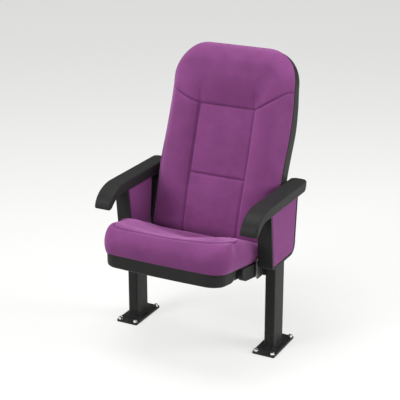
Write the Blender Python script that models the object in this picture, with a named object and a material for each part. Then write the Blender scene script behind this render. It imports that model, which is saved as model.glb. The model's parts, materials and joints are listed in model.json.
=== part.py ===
"""Auditorium chair with a tip-up seat, on two legs that bolt to the floor.

Units are metres, +Z is up and the chair faces -Y. The origin is on the floor, midway between the legs and
at the middle of the chair's depth. Left and right are as seen by someone who faces the chair.
"""

import math

import bmesh
import bpy
from mathutils import Matrix, Vector

# Clearances
SEATED_GAP = 0.0003        # between two pieces that touch
RUNNING_GAP = 0.0002       # between the pivot pin and its bush
HOLE_GAP = 0.0004          # between a bolt or screw and its hole

# Legs and floor plates
LEG_SPACING = 0.560        # between the legs' middle planes
LEG_Y = 0.021              # middle of the legs
LEG_WIDTH = 0.038
LEG_DEPTH = 0.082
LEG_WALL = 0.0025
LEG_CORNER = 0.006
LEG_HEADROOM = 0.004       # from the top of a leg to the top rail of its side frame
PLATE_WIDTH = 0.085
PLATE_LENGTH = 0.178
PLATE_THICK = 0.008
PLATE_CORNER = 0.004
BOLT_EDGE = 0.0105         # from a bolt's axis to the plate's edges
BOLT_RADIUS = 0.004
BOLT_FLANGE_RADIUS = 0.0092
BOLT_FLANGE_THICK = 0.002
BOLT_HEAD_FLATS = 0.013
BOLT_HEAD_HEIGHT = 0.0065
BOLT_CHAMFER = 0.001

# Side boxes, measured ahead of and behind the middle of the leg
SIDE_BOTTOM = 0.328
SIDE_WIDTH = 0.053
SIDE_FRONT_LOW = 0.080
SIDE_FRONT_HIGH = 0.103
SIDE_REAR_LOW = 0.109
SIDE_REAR_HIGH = 0.1275
BAND_THICK = 0.008
BAND_FRONT_RADIUS = 0.014
BAND_REAR_RADIUS = 0.036
LEAST_RADIUS = 0.003       # of a corner drawn in from the band's outline
FRAME_RIM = 0.028
FRAME_TOP_RAIL = 0.018
PANEL_GAP = 0.0008         # between a panel's edge and what it fits in
PANEL_BOARD = 0.0045       # stiff back of a panel
PANEL_PROUD = 0.0018       # crown of a panel beyond the edge band
PANEL_SOFT = 0.007         # width of a panel's rounded edge
INNER_PANEL_SETBACK = 0.046  # strip behind the inner panel, left for the back bracket

# Armrests, measured from the middle of the leg
ARM_BOTTOM = 0.536
ARM_TOP = 0.577
ARM_WIDTH = 0.0635
ARM_OUTSET = 0.002
ARM_AHEAD = 0.233
ARM_BEHIND = 0.206
NOSE_LENGTH = 0.108
NOSE_DROP = 0.034          # lip of the nose below the underside
NOSE_LIP = 0.015
NOSE_HOLLOW = 0.062        # length of the curved hollow behind the lip
ARM_TAIL_RADIUS = 0.026
ARM_PLAN_RADIUS = 0.024
ARM_EDGE_RADIUS = 0.009
ARM_SCREW_RADIUS = 0.003
ARM_SCREW_HEAD_RADIUS = 0.006
ARM_SCREW_HEAD = 0.003
ARM_SCREW_DEPTH = 0.020    # thread in the armrest
ARM_SCREW_MARGIN = 0.011   # from a screw's axis to the upright beside it

# Backrest, measured behind the middle of the leg
BACK_GAP = 0.008           # from the back shell to the side box
BACK_BOTTOM = 0.353
BACK_TOP = 1.016
BACK_CORNER = 0.115
BACK_TAPER = 0.030         # share of the width lost towards the top
BACK_LOW_CORNER = 0.024
BACK_KNEE = 0.5685         # height at which the setback is given, and of the middle seam
BACK_FULL = 0.70           # height at which the shell starts to taper and thin
BACK_SETBACK = 0.102
BACK_RAKE = math.radians(18.0)
HEAD_HEIGHT = 0.206        # from the headrest's seam to the top
HEAD_BEND_LOW = 0.02       # the rake fades out between these two heights over the seam
HEAD_BEND_HIGH = 0.23
PARTING_LOW = 0.014        # from the sewn panel back to the shell's rim, low down
PARTING_EXTRA = 0.021      # more at shoulder height
PARTING_HEAD = 0.010       # and less again at the head
PARTING_EASE = 0.100       # height over which each of them comes in
SHELL_DEPTH = 0.072
SHELL_HEAD_DEPTH = 0.058
SHELL_WALL = 0.004
SHELL_DRAFT = 0.001
SHELL_FILLET = 0.030
BOARD_THICK = 0.010
BOARD_EDGE_GAP = 0.0008    # between the back board and the shell's wall
CUSHION_INSET = 0.002      # back cushion inside the shell's outline
SEAM_X = 0.109             # sewn lines beside the middle panel
SEAM_HEAD_RISE = math.tan(math.radians(27.0))
SEAM_DEPTH = 0.005
SEAM_WIDTH = 0.0055
SEAM_EDGE = 0.0088         # from a seam to the rows of points beside it
BOLSTER_RISE = 0.024
BOLSTER_FOOT = 0.10        # share of the rise that is left at the foot
BOLSTER_SPAN = 0.92        # share of its width over which a bolster is round
BOLSTER_FULLNESS = 0.7     # the lower, the squarer
HEAD_RISE = 0.026
HEAD_EASE = 0.050          # height over which the headrest rises
HEAD_FALL = 0.6            # share of its rise that is lost at the sides
PANEL_CROWN = 0.007
BACK_ROLL = 0.046          # radius that the cushion's edges are rolled over

# Back fixing
BRACKET_THICK = 0.006
BRACKET_MARGIN = 0.012
BRACKET_CORNER = 0.004
BRACKET_FOOT_CORNER = 0.020
BACK_BOLT_RADIUS = 0.004
BACK_BOLT_HEAD_RADIUS = 0.0065
BACK_BOLT_HEAD = 0.004
BACK_BOLT_HEIGHTS = (0.418, 0.456)
SPACER_RADIUS = 0.0075

# Seat and its pivot; the seat's own frame has its origin on the pivot axis
PIVOT_AHEAD = 0.020        # ahead of the middle of the leg
PIVOT_Z = 0.318
SEAT_TILT = math.radians(10.0)
PAN_RISE = 0.0165          # rim above the pivot axis
PAN_DEPTH = 0.046
PAN_FRONT = 0.316
PAN_REAR = 0.048
PAN_WALL = 0.004
PAN_DRAFT = 0.004
PAN_FILLET = 0.012
PAN_CORNER = 0.060
PAN_REAR_CORNER = 0.020
SEAT_BOW = 0.010
SEAT_BOW_LENGTH = 0.150
SEAT_BOARD_THICK = 0.010
SEAT_BOARD_GAP = 0.0006
SEAT_SIDE_GAP = 0.0155     # from the seat cushion's widest line to the side box
SEAT_FRONT = 0.328
SEAT_REAR = 0.028
SEAT_CORNER = 0.070
SEAT_REAR_CORNER = 0.022
SEAT_WAIST = 0.040         # height of the widest line above the pan's rim
SEAT_DRAW_IN = 0.015       # how far the sides are drawn in at the rim
SEAT_CREST = 0.097         # top of the cushion above the rim, near the front
SEAT_CREST_AHEAD = 0.235
SEAT_LOW = 0.042           # and at the rear
SEAT_DISH = 0.013          # rise of the sides over the middle
SEAT_DISH_HALF = 0.170
SEAT_DISH_FRONT = 0.110    # the dish fades out ahead of this line, and behind the next
SEAT_DISH_REAR = 0.035
SEAT_SIDE_ROLL = 0.034
SEAT_FRONT_ROLL = 0.090
SEAT_REAR_ROLL = 0.030
SEAT_SEAM = 0.036          # sewn line behind the front edge

# Hinge
PIVOT_BLOCK_LOW = 0.030    # below the pivot axis
PIVOT_BLOCK_GAP = 0.0012   # under the side box
PIVOT_PLATE_THICK = 0.0055
PIVOT_PLATE_CLEAR = 0.0005 # from the pivot plate to the crown of the inner panel
PIVOT_PLATE_LOW = 0.030    # below the pivot axis
PIVOT_PLATE_HIGH = 0.044   # above it
PIVOT_PLATE_FRONT = 0.066  # ahead of it
PIVOT_PLATE_REAR = 0.046   # behind it
PIVOT_PLATE_CORNER = 0.008
HINGE_GAP = 0.004          # from the pivot plate to the hinge arm
HINGE_WIDTH = 0.019
HINGE_LOBE = 0.034         # round the pivot axis, and depth of the arm below it
HINGE_FRONT = 0.168
HINGE_FRONT_RADIUS = 0.038
HINGE_TOP_RADIUS = 0.005
HINGE_TOP_GAP = 0.001      # under the cushion's overhang
PIN_RADIUS = 0.008
PIN_END_GAP = 0.002
BUSH_WALL = 0.0025
BUSH_FLANGE = 0.003
BUSH_FLANGE_THICK = 0.002
STOP_RADIUS = 0.004
STOP_ARM = 0.0235          # from the pivot axis to the stop pin
STOP_ANGLE = math.radians(240.0)
STOP_SLOT_DEPTH = 0.012
STOP_END_GAP = 0.002
SEAT_UP = math.radians(52.0)
HINGE_SCREW_RADIUS = 0.003
HINGE_SCREW_HEAD_RADIUS = 0.0055
HINGE_SCREW_HEAD = 0.004
HINGE_SCREW_TIP = 0.006    # thread inside the pan
HINGE_SCREWS_AHEAD = (0.075, 0.145)
HINGE_SCREW_Z = -0.007

# Facets
ROUND_SIDES = 24
BOLT_SIDES = 12
CORNER_STEPS = 4
NOSE_STEPS = 10
HEAD_STEPS = 6
EDGE_TURNS = [math.radians(a) for a in (0.0, 30.0, 60.0, 90.0)]
ROLL_TURNS = [math.radians(a) for a in (76.0, 52.0, 32.0, 16.0, 0.0)]
FRONT_SHARES = (-0.7, -0.4, 0.0, 0.4, 0.7)   # points across the front of the pan
ROW_APART = 0.06           # least angle between two rows round a front corner

SIDES = {"left": -1, "right": 1}

# Positions shared by several pieces
SIDE_INNER = LEG_SPACING / 2 - SIDE_WIDTH / 2
LEG_INNER = LEG_SPACING / 2 - LEG_WIDTH / 2
FRAME_TOP = ARM_BOTTOM - SEATED_GAP
BACK_HALF = SIDE_INNER - BACK_GAP
SEAM_HEAD = BACK_TOP - HEAD_HEIGHT
BACK_ARC = BACK_TOP - BACK_CORNER
PIVOT_PLATE_BACK = SIDE_INNER - PANEL_PROUD - PIVOT_PLATE_CLEAR
PIVOT_PLATE_FACE = PIVOT_PLATE_BACK - PIVOT_PLATE_THICK
HINGE_OUTER = PIVOT_PLATE_FACE - HINGE_GAP
HINGE_INNER = HINGE_OUTER - HINGE_WIDTH
PAN_HALF = HINGE_INNER - SEATED_GAP
SEAT_HALF = SIDE_INNER - SEAT_SIDE_GAP
BUSH_RADIUS = PIN_RADIUS + RUNNING_GAP + BUSH_WALL
BRACKET_FACE = LEG_INNER - SEATED_GAP - BRACKET_THICK


def smooth(value, low, high):
    """Step from 0 at low to 1 at high, level at both ends."""
    t = min(max((value - low) / (high - low), 0.0), 1.0)
    return t * t * (3.0 - 2.0 * t)


def roll(distance, radius):
    """Height, from 0 to 1, of an edge rolled over a radius, at a distance from the edge."""
    t = 1.0 - min(max(distance / radius, 0.0), 1.0)
    return math.sqrt(max(1.0 - t * t, 0.0))


def between(low, high, count):
    """Values spread evenly inside an interval, without its ends."""
    return [low + (high - low) * (i + 1) / (count + 1) for i in range(count)]


def arc(centre, radius, start, end, steps):
    """Points along an arc, from its start angle to its end angle."""
    angles = [start + (end - start) * i / steps for i in range(steps + 1)]
    return [(centre[0] + radius * math.cos(a), centre[1] + radius * math.sin(a)) for a in angles]


def finish(name, colour, roughness, metallic=0.0):
    """Principled material of one piece."""
    material = bpy.data.materials.new(name)
    material.use_nodes = True
    shader = material.node_tree.nodes["Principled BSDF"]
    shader.inputs["Base Color"].default_value = (*colour, 1.0)
    shader.inputs["Roughness"].default_value = roughness
    shader.inputs["Metallic"].default_value = metallic
    material.diffuse_color = (*colour, 1.0)
    return material


FABRIC = ((0.21, 0.055, 0.19), 0.9)
PLASTIC = ((0.03, 0.03, 0.03), 0.45)
PAINT = ((0.03, 0.03, 0.029), 0.4)
ZINC = ((0.55, 0.55, 0.53), 0.35, 1.0)
PLYWOOD = ((0.45, 0.31, 0.17), 0.7)
NYLON = ((0.75, 0.73, 0.66), 0.5)


def add_piece(name, bm, look, parent, sharp_angle=math.radians(40.0)):
    """Turn a bmesh, drawn in its parent's frame, into a named object with its own material."""
    bmesh.ops.recalc_face_normals(bm, faces=bm.faces)
    mesh = bpy.data.meshes.new(name)
    bm.to_mesh(mesh)
    bm.free()
    mesh.shade_smooth()
    mesh.set_sharp_from_angle(angle=sharp_angle)
    mesh.materials.append(finish(name, *look))
    piece = bpy.data.objects.new(name, mesh)
    piece.parent = parent
    bpy.context.scene.collection.objects.link(piece)
    return piece


def add_frame(name, location, tilt=0.0):
    """Empty that carries the pieces of one sub-assembly."""
    frame = bpy.data.objects.new(name, None)
    frame.location = location
    frame.rotation_euler = (tilt, 0.0, 0.0)
    bpy.context.scene.collection.objects.link(frame)
    return frame


def cut(piece, name, bm):
    """Cut a bmesh, drawn in the piece's frame, out of a piece."""
    bmesh.ops.recalc_face_normals(bm, faces=bm.faces)
    mesh = bpy.data.meshes.new(name)
    bm.to_mesh(mesh)
    bm.free()
    cutter = bpy.data.objects.new(name, mesh)
    cutter.parent = piece.parent
    cutter.hide_render = True
    cutter.display_type = "WIRE"
    bpy.context.scene.collection.objects.link(cutter)
    modifier = piece.modifiers.new(name, "BOOLEAN")
    modifier.operation = "DIFFERENCE"
    modifier.solver = "EXACT"
    modifier.object = cutter


def bridge(bm, lower, upper):
    """Quads between two rings of equal length."""
    count = len(lower)
    for i in range(count):
        j = (i + 1) % count
        bm.faces.new((lower[i], lower[j], upper[j], upper[i]))


def ruled_cap(bm, ring):
    """Close a ring of left points, bottom to top, and right points, top to bottom, with strips across."""
    count = len(ring)
    for i in range(count // 2 - 1):
        bm.faces.new((ring[i], ring[i + 1], ring[count - 2 - i], ring[count - 1 - i]))


def stack(loops, bm=None, ruled=False):
    """Closed body through equal loops of points, with a cap at each end."""
    bm = bm or bmesh.new()
    rings = [[bm.verts.new(point) for point in loop] for loop in loops]
    for lower, upper in zip(rings, rings[1:]):
        bridge(bm, lower, upper)
    for ring in (rings[0], rings[-1]):
        if ruled:
            ruled_cap(bm, ring)
        else:
            bm.faces.new(ring)
    return bm


def hollow(loops):
    """Closed body through loops that go round a bore and come back to the first."""
    bm = bmesh.new()
    rings = [[bm.verts.new(point) for point in loop] for loop in loops]
    for lower, upper in zip(rings, rings[1:] + rings[:1]):
        bridge(bm, lower, upper)
    return bm


def circle(radius, sides):
    """Points of a circle round the origin."""
    angles = [2.0 * math.pi * i / sides for i in range(sides)]
    return [(radius * math.cos(a), radius * math.sin(a)) for a in angles]


def along_x(points, x):
    """Put (y, z) points in a plane across X."""
    return [Vector((x, y, z)) for y, z in points]


def along_z(points, z):
    """Put (x, y) points in a level plane."""
    return [Vector((x, y, z)) for x, y in points]


def turned_x(profile, centre, sides=ROUND_SIDES, bm=None):
    """Solid turned round an axis along X through a (y, z) centre; the profile is (x, radius) pairs."""
    loops = []
    for x, radius in profile:
        points = [(y + centre[0], z + centre[1]) for y, z in circle(radius, sides)]
        loops.append(along_x(points, x))
    return stack(loops, bm)


def prism_x(outline, x0, x1):
    """Solid of a (y, z) outline between two planes across X."""
    return stack([along_x(outline, x0), along_x(outline, x1)])


def rounded(corners, steps=CORNER_STEPS):
    """Outline with arcs in place of its corners; each corner is (u, v, radius)."""
    points = []
    count = len(corners)
    for i, (u, v, radius) in enumerate(corners):
        corner = Vector((u, v))
        if radius <= 0.0:
            points.append((u, v))
            continue
        before = (Vector(corners[i - 1][:2]) - corner).normalized()
        after = (Vector(corners[(i + 1) % count][:2]) - corner).normalized()
        half = before.angle(after) / 2.0
        centre = corner + (before + after).normalized() * radius / math.sin(half)
        start = corner + before * radius / math.tan(half) - centre
        end = corner + after * radius / math.tan(half) - centre
        sweep = start.angle_signed(end)
        for k in range(steps + 1):
            point = centre + Matrix.Rotation(-sweep * k / steps, 2) @ start
            points.append((point.x, point.y))
    return points


def rectangle(half_u, half_v, radius):
    """Rounded rectangle round the origin."""
    return rounded([(-half_u, -half_v, radius), (half_u, -half_v, radius),
                    (half_u, half_v, radius), (-half_u, half_v, radius)])


# Legs and floor plates, drawn round the foot of the leg


def bolt_places():
    """The four bolts of a floor plate, by name, round the middle of the plate."""
    across = PLATE_WIDTH / 2 - BOLT_EDGE
    along = PLATE_LENGTH / 2 - BOLT_EDGE
    return {"front_outer": (across, -along), "front_inner": (-across, -along),
            "rear_outer": (across, along), "rear_inner": (-across, along)}


def add_floor_plate(side, sign, parent):
    """Steel plate under a leg, with its four bolts."""
    outline = rectangle(PLATE_WIDTH / 2, PLATE_LENGTH / 2, PLATE_CORNER)
    plate = add_piece(f"base_plate_{side}", stack([along_z(outline, 0.0), along_z(outline, PLATE_THICK)]),
                      PAINT, parent)
    holes = bmesh.new()
    for across, along in bolt_places().values():
        hole = [(x + sign * across, y + along) for x, y in circle(BOLT_RADIUS + HOLE_GAP, BOLT_SIDES)]
        stack([along_z(hole, -PLATE_THICK), along_z(hole, 2.0 * PLATE_THICK)], holes)
    cut(plate, f"base_plate_{side}_holes", holes)
    for name, (across, along) in bolt_places().items():
        add_floor_bolt(f"floor_bolt_{name}_{side}", (sign * across, along), parent)


def add_floor_bolt(name, place, parent):
    """Flanged hexagon bolt, cut off at the floor."""
    seat = PLATE_THICK + SEATED_GAP
    top = seat + BOLT_FLANGE_THICK + BOLT_HEAD_HEIGHT
    corner = BOLT_HEAD_FLATS / math.sqrt(3.0)
    hexagon = [(corner * math.cos(math.pi * i / 3), corner * math.sin(math.pi * i / 3)) for i in range(6)]
    head = []
    for (x0, y0), (x1, y1) in zip(hexagon, hexagon[1:] + hexagon[:1]):
        head += [(x0, y0), ((x0 + x1) / 2, (y0 + y1) / 2)]
    rings = [(circle(BOLT_RADIUS, BOLT_SIDES), SEATED_GAP), (circle(BOLT_RADIUS, BOLT_SIDES), seat),
             (circle(BOLT_FLANGE_RADIUS, BOLT_SIDES), seat),
             (circle(BOLT_FLANGE_RADIUS, BOLT_SIDES), seat + BOLT_FLANGE_THICK),
             (head, seat + BOLT_FLANGE_THICK), (head, top - BOLT_CHAMFER),
             (circle(BOLT_HEAD_FLATS / 2 - BOLT_CHAMFER / 2, BOLT_SIDES), top)]
    bolt = add_piece(name, stack([along_z(points, z) for points, z in rings]), ZINC, parent)
    bolt.location = (*place, 0.0)


def add_leg(side, parent):
    """Rectangular tube from the floor plate up into the side frame."""
    outer = rectangle(LEG_WIDTH / 2, LEG_DEPTH / 2, LEG_CORNER)
    inner = rectangle(LEG_WIDTH / 2 - LEG_WALL, LEG_DEPTH / 2 - LEG_WALL, LEG_CORNER - LEG_WALL)
    low = PLATE_THICK + SEATED_GAP
    high = FRAME_TOP - FRAME_TOP_RAIL - LEG_HEADROOM
    loops = [along_z(outer, low), along_z(outer, high), along_z(inner, high), along_z(inner, low)]
    add_piece(f"leg_tube_{side}", hollow(loops), PAINT, parent)


# Side boxes, drawn round the middle of the leg; x grows away from the seat


def front_line(z):
    """Front edge of the side box at a height."""
    t = (z - SIDE_BOTTOM) / (ARM_BOTTOM - SIDE_BOTTOM)
    return -(SIDE_FRONT_LOW + (SIDE_FRONT_HIGH - SIDE_FRONT_LOW) * t)


def rear_line(z):
    """Rear edge of the side box at a height."""
    t = (z - SIDE_BOTTOM) / (ARM_BOTTOM - SIDE_BOTTOM)
    return SIDE_REAR_LOW + (SIDE_REAR_HIGH - SIDE_REAR_LOW) * t


def side_corners(inset, top, rear_setback=0.0):
    """Corners of the side box, drawn in from its outline: front top, front foot, rear foot, rear top."""
    low = SIDE_BOTTOM + inset
    front_radius = max(BAND_FRONT_RADIUS - inset, LEAST_RADIUS)
    rear_radius = max(BAND_REAR_RADIUS - inset, LEAST_RADIUS)
    back = inset + rear_setback
    return [(front_line(top) + inset, top, 0.0), (front_line(low) + inset, low, front_radius),
            (rear_line(low) - back, low, rear_radius), (rear_line(top) - back, top, 0.0)]


def arm_screw_places():
    """Screws of one armrest, by name, under the frame's top rail beside each upright."""
    rim = BAND_THICK + SEATED_GAP + FRAME_RIM + ARM_SCREW_MARGIN
    rail = FRAME_TOP - FRAME_TOP_RAIL
    return {"front": front_line(rail) + rim, "rear": rear_line(rail) - rim}


def add_edge_band(side, parent):
    """Moulded band round the front, foot and rear of the side box, open where the leg passes."""
    outer = rounded(side_corners(0.0, FRAME_TOP))
    inner = rounded(side_corners(BAND_THICK, FRAME_TOP))
    band = add_piece(f"edge_band_{side}", prism_x(outer + inner[::-1], -SIDE_WIDTH / 2, SIDE_WIDTH / 2),
                     PLASTIC, parent)
    slot = rectangle(LEG_WIDTH / 2 + HOLE_GAP, LEG_DEPTH / 2 + HOLE_GAP, LEG_CORNER)
    low = SIDE_BOTTOM - BAND_THICK
    cut(band, f"edge_band_{side}_slot", stack([along_z(slot, low), along_z(slot, low + 3.0 * BAND_THICK)]))


def add_side_frame(side, sign, parent):
    """Welded frame inside the side box, with feet that meet the leg."""
    inset = BAND_THICK + SEATED_GAP
    rim = inset + FRAME_RIM
    foot = SIDE_BOTTOM + rim
    under_rail = FRAME_TOP - FRAME_TOP_RAIL
    leg = LEG_DEPTH / 2 + SEATED_GAP
    front_top, front_foot, rear_foot, rear_top = side_corners(inset, FRAME_TOP)
    outline = rounded([front_top, front_foot, (-leg, front_foot[1], 0.0), (-leg, foot, 0.0),
                       (front_line(foot) + rim, foot, 0.0), (front_line(under_rail) + rim, under_rail, 0.0),
                       (rear_line(under_rail) - rim, under_rail, 0.0), (rear_line(foot) - rim, foot, 0.0),
                       (leg, foot, 0.0), (leg, rear_foot[1], 0.0), rear_foot, rear_top])
    frame = add_piece(f"side_frame_{side}", prism_x(outline, -LEG_WIDTH / 2, LEG_WIDTH / 2), PAINT, parent)
    holes = bmesh.new()
    for y in arm_screw_places().values():
        hole = [(u, y + v) for u, v in circle(ARM_SCREW_RADIUS + HOLE_GAP, BOLT_SIDES)]
        stack([along_z(hole, under_rail - FRAME_TOP_RAIL), along_z(hole, FRAME_TOP + FRAME_TOP_RAIL)], holes)
    for y, z in back_bolt_places():
        hole = BACK_BOLT_RADIUS + HOLE_GAP
        turned_x([(-sign * LEG_WIDTH, hole), (sign * LEG_WIDTH, hole)], (y, z), BOLT_SIDES, holes)
    cut(frame, f"side_frame_{side}_holes", holes)


def add_panel(name, sign, rear_setback, parent):
    """Upholstered board on one face of the side frame; sign is the way it faces along X."""
    back = LEG_WIDTH / 2 + SEATED_GAP
    face = SIDE_WIDTH / 2 + PANEL_PROUD
    top = FRAME_TOP - SEATED_GAP
    edge = BAND_THICK + PANEL_GAP
    levels = [(0.0, back), (0.0, back + PANEL_BOARD), (PANEL_SOFT / 3, face - PANEL_PROUD / 2),
              (PANEL_SOFT, face)]
    loops = []
    for inset, x in levels:
        outline = rounded(side_corners(edge + inset, top - inset, rear_setback))
        loops.append(along_x(outline, sign * x))
    add_piece(name, stack(loops), FABRIC, parent)


def back_bolt_places():
    """Bolts of one side of the back, in the middle of the side frame's rear upright."""
    inset = BAND_THICK + SEATED_GAP + FRAME_RIM / 2
    return [(rear_line(z) - inset, z) for z in BACK_BOLT_HEIGHTS]


def add_back_fixing(side, sign, parent):
    """Bracket on the side frame, with the spacers and bolts that carry the back shell."""
    face = sign * (BRACKET_FACE - LEG_SPACING / 2)
    back = -sign * (LEG_WIDTH / 2 + SEATED_GAP)
    places = back_bolt_places()
    low = SIDE_BOTTOM + BAND_THICK + BRACKET_MARGIN
    high = FRAME_TOP - BRACKET_MARGIN
    front = BAND_THICK + INNER_PANEL_SETBACK - PANEL_GAP
    rear = BAND_THICK + PANEL_GAP
    outline = rounded([(rear_line(high) - front, high, BRACKET_CORNER),
                       (rear_line(low) - front, low, BRACKET_CORNER),
                       (rear_line(low) - rear, low, BRACKET_FOOT_CORNER),
                       (rear_line(high) - rear, high, BRACKET_CORNER)])
    bracket = add_piece(f"back_bracket_{side}", prism_x(outline, face, back), PAINT, parent)
    holes = bmesh.new()
    shell = sign * (BACK_HALF - LEG_SPACING / 2)
    for number, (y, z) in enumerate(places, 1):
        hole = BACK_BOLT_RADIUS + HOLE_GAP
        turned_x([(face - sign * BRACKET_THICK, hole), (back + sign * BRACKET_THICK, hole)], (y, z),
                 BOLT_SIDES, holes)
        start = shell + sign * SEATED_GAP
        end = face - sign * SEATED_GAP
        rings = [(start, SPACER_RADIUS), (end, SPACER_RADIUS), (end, hole), (start, hole)]
        loops = [along_x([(y + v, z + w) for v, w in circle(radius, ROUND_SIDES)], x) for x, radius in rings]
        add_piece(f"back_spacer_{number}_{side}", hollow(loops), ZINC, parent)
        seat = shell - sign * (SHELL_WALL + SHELL_DRAFT + SEATED_GAP)
        profile = [(seat - sign * BACK_BOLT_HEAD, BACK_BOLT_HEAD_RADIUS), (seat, BACK_BOLT_HEAD_RADIUS),
                   (seat, BACK_BOLT_RADIUS), (sign * LEG_WIDTH / 2, BACK_BOLT_RADIUS)]
        add_piece(f"back_bolt_{number}_{side}", turned_x(profile, (y, z), BOLT_SIDES), ZINC, parent)
    cut(bracket, f"back_bracket_{side}_holes", holes)


def arm_outline():
    """Side view of an armrest, with its drooping nose and rounded tail."""
    height = ARM_TOP - ARM_BOTTOM + NOSE_DROP
    lip = ARM_BOTTOM - NOSE_DROP
    nose_start = NOSE_LENGTH - ARM_AHEAD
    points = []
    for i in range(NOSE_STEPS + 1):
        a = math.pi / 2 * i / NOSE_STEPS
        points.append((nose_start - NOSE_LENGTH * math.sin(a), lip + height * math.cos(a)))
    hollow_start = NOSE_LIP - ARM_AHEAD
    for i in range(CORNER_STEPS + 1):
        t = i / CORNER_STEPS
        points.append((hollow_start + NOSE_HOLLOW * t, lip + NOSE_DROP * math.sin(math.pi / 2 * t)))
    tail = rounded([(points[-1][0], ARM_BOTTOM, 0.0), (ARM_BEHIND, ARM_BOTTOM, ARM_TAIL_RADIUS),
                    (ARM_BEHIND, ARM_TOP, 0.0), (nose_start, ARM_TOP, 0.0)])
    return points + tail[1:-1]


def drawn_in(outline, inset):
    """Move each point of an anticlockwise outline inward by an inset."""
    count = len(outline)
    points = []
    for i in range(count):
        here = Vector(outline[i])
        before = (here - Vector(outline[i - 1])).normalized()
        after = (Vector(outline[(i + 1) % count]) - here).normalized()
        turned = Vector((-before.y, before.x)), Vector((-after.y, after.x))
        moved = here + inset * (turned[0] + turned[1]) / (1.0 + turned[0].dot(turned[1]))
        points.append((moved.x, moved.y))
    return points


def fall_back(distance, radius):
    """How far a quarter round of a radius lies behind its crown, at a distance from its side."""
    return radius * (1.0 - roll(distance, radius))


def add_armrest(side, sign, parent):
    """Moulded armrest with rounded edges, and the two screws that hold it from below."""
    outset = sign * ARM_OUTSET
    edges = [ARM_EDGE_RADIUS * (1.0 - math.cos(a)) for a in EDGE_TURNS]
    edges += [(ARM_EDGE_RADIUS + ARM_PLAN_RADIUS) / 2, ARM_PLAN_RADIUS]
    loops = []
    for edge in edges:
        tail = fall_back(edge, ARM_PLAN_RADIUS)
        outline = []
        for y, z in drawn_in(arm_outline(), fall_back(edge, ARM_EDGE_RADIUS)):
            outline.append((y - tail * smooth(y, ARM_BEHIND - 2.0 * ARM_PLAN_RADIUS, ARM_BEHIND), z))
        loops.append((ARM_WIDTH / 2 - edge, outline))
    loops = [along_x(outline, outset - x) for x, outline in loops] + [
        along_x(outline, outset + x) for x, outline in reversed(loops)]
    arm = add_piece(f"armrest_{side}", stack(loops), PLASTIC, parent)
    holes = bmesh.new()
    seat = FRAME_TOP - FRAME_TOP_RAIL - SEATED_GAP
    for name, y in arm_screw_places().items():
        tip = ARM_BOTTOM + ARM_SCREW_DEPTH
        hole = [(u, y + v) for u, v in circle(ARM_SCREW_RADIUS + HOLE_GAP, BOLT_SIDES)]
        stack([along_z(hole, ARM_BOTTOM - ARM_SCREW_DEPTH), along_z(hole, tip + SEATED_GAP)], holes)
        rings = [(ARM_SCREW_HEAD_RADIUS, seat - ARM_SCREW_HEAD), (ARM_SCREW_HEAD_RADIUS, seat),
                 (ARM_SCREW_RADIUS, seat), (ARM_SCREW_RADIUS, tip)]
        loops = [along_z(circle(radius, BOLT_SIDES), z) for radius, z in rings]
        screw = add_piece(f"arm_screw_{name}_{side}", stack(loops), ZINC, parent)
        screw.location = (0.0, y, 0.0)
    cut(arm, f"armrest_{side}_holes", holes)


# Backrest, drawn round the middle of the legs


def panel_y(z):
    """Depth of the sewn middle panel at a height; its rake fades out at the head."""
    slope = math.tan(BACK_RAKE)
    start = SEAM_HEAD + HEAD_BEND_LOW
    length = HEAD_BEND_HIGH - HEAD_BEND_LOW
    straight = BACK_SETBACK + (min(z, start) - BACK_KNEE) * slope
    above = min(max(z - start, 0.0), length)
    return straight + slope * above * (1.0 - above / (2.0 * length))


def parting_y(z):
    """Depth of the line where the cushion meets the shell."""
    shoulder = PARTING_EXTRA * smooth(z, BACK_KNEE, BACK_KNEE + 2.0 * PARTING_EASE)
    head = PARTING_HEAD * smooth(z, SEAM_HEAD, SEAM_HEAD + PARTING_EASE)
    return panel_y(z) + PARTING_LOW + shoulder - head


def shell_depth(z):
    """Depth of the shell behind the parting line."""
    return SHELL_DEPTH + (SHELL_HEAD_DEPTH - SHELL_DEPTH) * smooth(z, BACK_FULL, BACK_ARC)


def back_rows(inset, levels):
    """Half widths and heights of the back's outline, bottom to top, drawn in by an inset."""
    rows = []
    low = low_corner(inset)
    for i in range(CORNER_STEPS + 1):
        a = math.pi / 2 * i / CORNER_STEPS
        rows.append((BACK_HALF - inset - low * (1.0 - math.sin(a)),
                     BACK_BOTTOM + inset + low * (1.0 - math.cos(a))))
    rows += [(BACK_HALF - inset, z) for z in levels]
    radius = BACK_CORNER - inset
    for i in range(HEAD_STEPS + 1):
        a = math.pi / 2 * i / HEAD_STEPS
        rows.append((BACK_HALF - BACK_CORNER + radius * math.cos(a), BACK_ARC + radius * math.sin(a)))
    return rows


def head_seam(x):
    """Height of the seam under the headrest: level in the middle, rising to the sides."""
    return SEAM_HEAD + max(abs(x) - SEAM_X, 0.0) * SEAM_HEAD_RISE


def bent(x, z):
    """Height of a row of the back cushion at a point; rows near the headrest follow its seam."""
    near = 1.0 - min(abs(z - SEAM_HEAD) / (BACK_ARC - SEAM_HEAD), 1.0)
    return z + near * (head_seam(x) - SEAM_HEAD)


def cushion_levels():
    """Heights of the back cushion's rows in the middle, with one on each side of a seam."""
    knee = [BACK_KNEE - SEAM_EDGE, BACK_KNEE, BACK_KNEE + SEAM_EDGE]
    head = [SEAM_HEAD - SEAM_EDGE, SEAM_HEAD, SEAM_HEAD + SEAM_EDGE]
    foot = BACK_BOTTOM + BACK_LOW_CORNER
    return (between(foot, knee[0], 3) + knee + between(knee[-1], head[0], 5) + head
            + between(head[-1], BACK_ARC, 1))


def edge_levels():
    """Heights of the same rows at the side of the back, which the shell and the board share."""
    return [bent(BACK_HALF - CUSHION_INSET, z) for z in cushion_levels()]


def narrowed(z):
    """Share of the back's width that is left at a height."""
    return 1.0 - BACK_TAPER * smooth(z, BACK_FULL, BACK_TOP)


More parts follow.
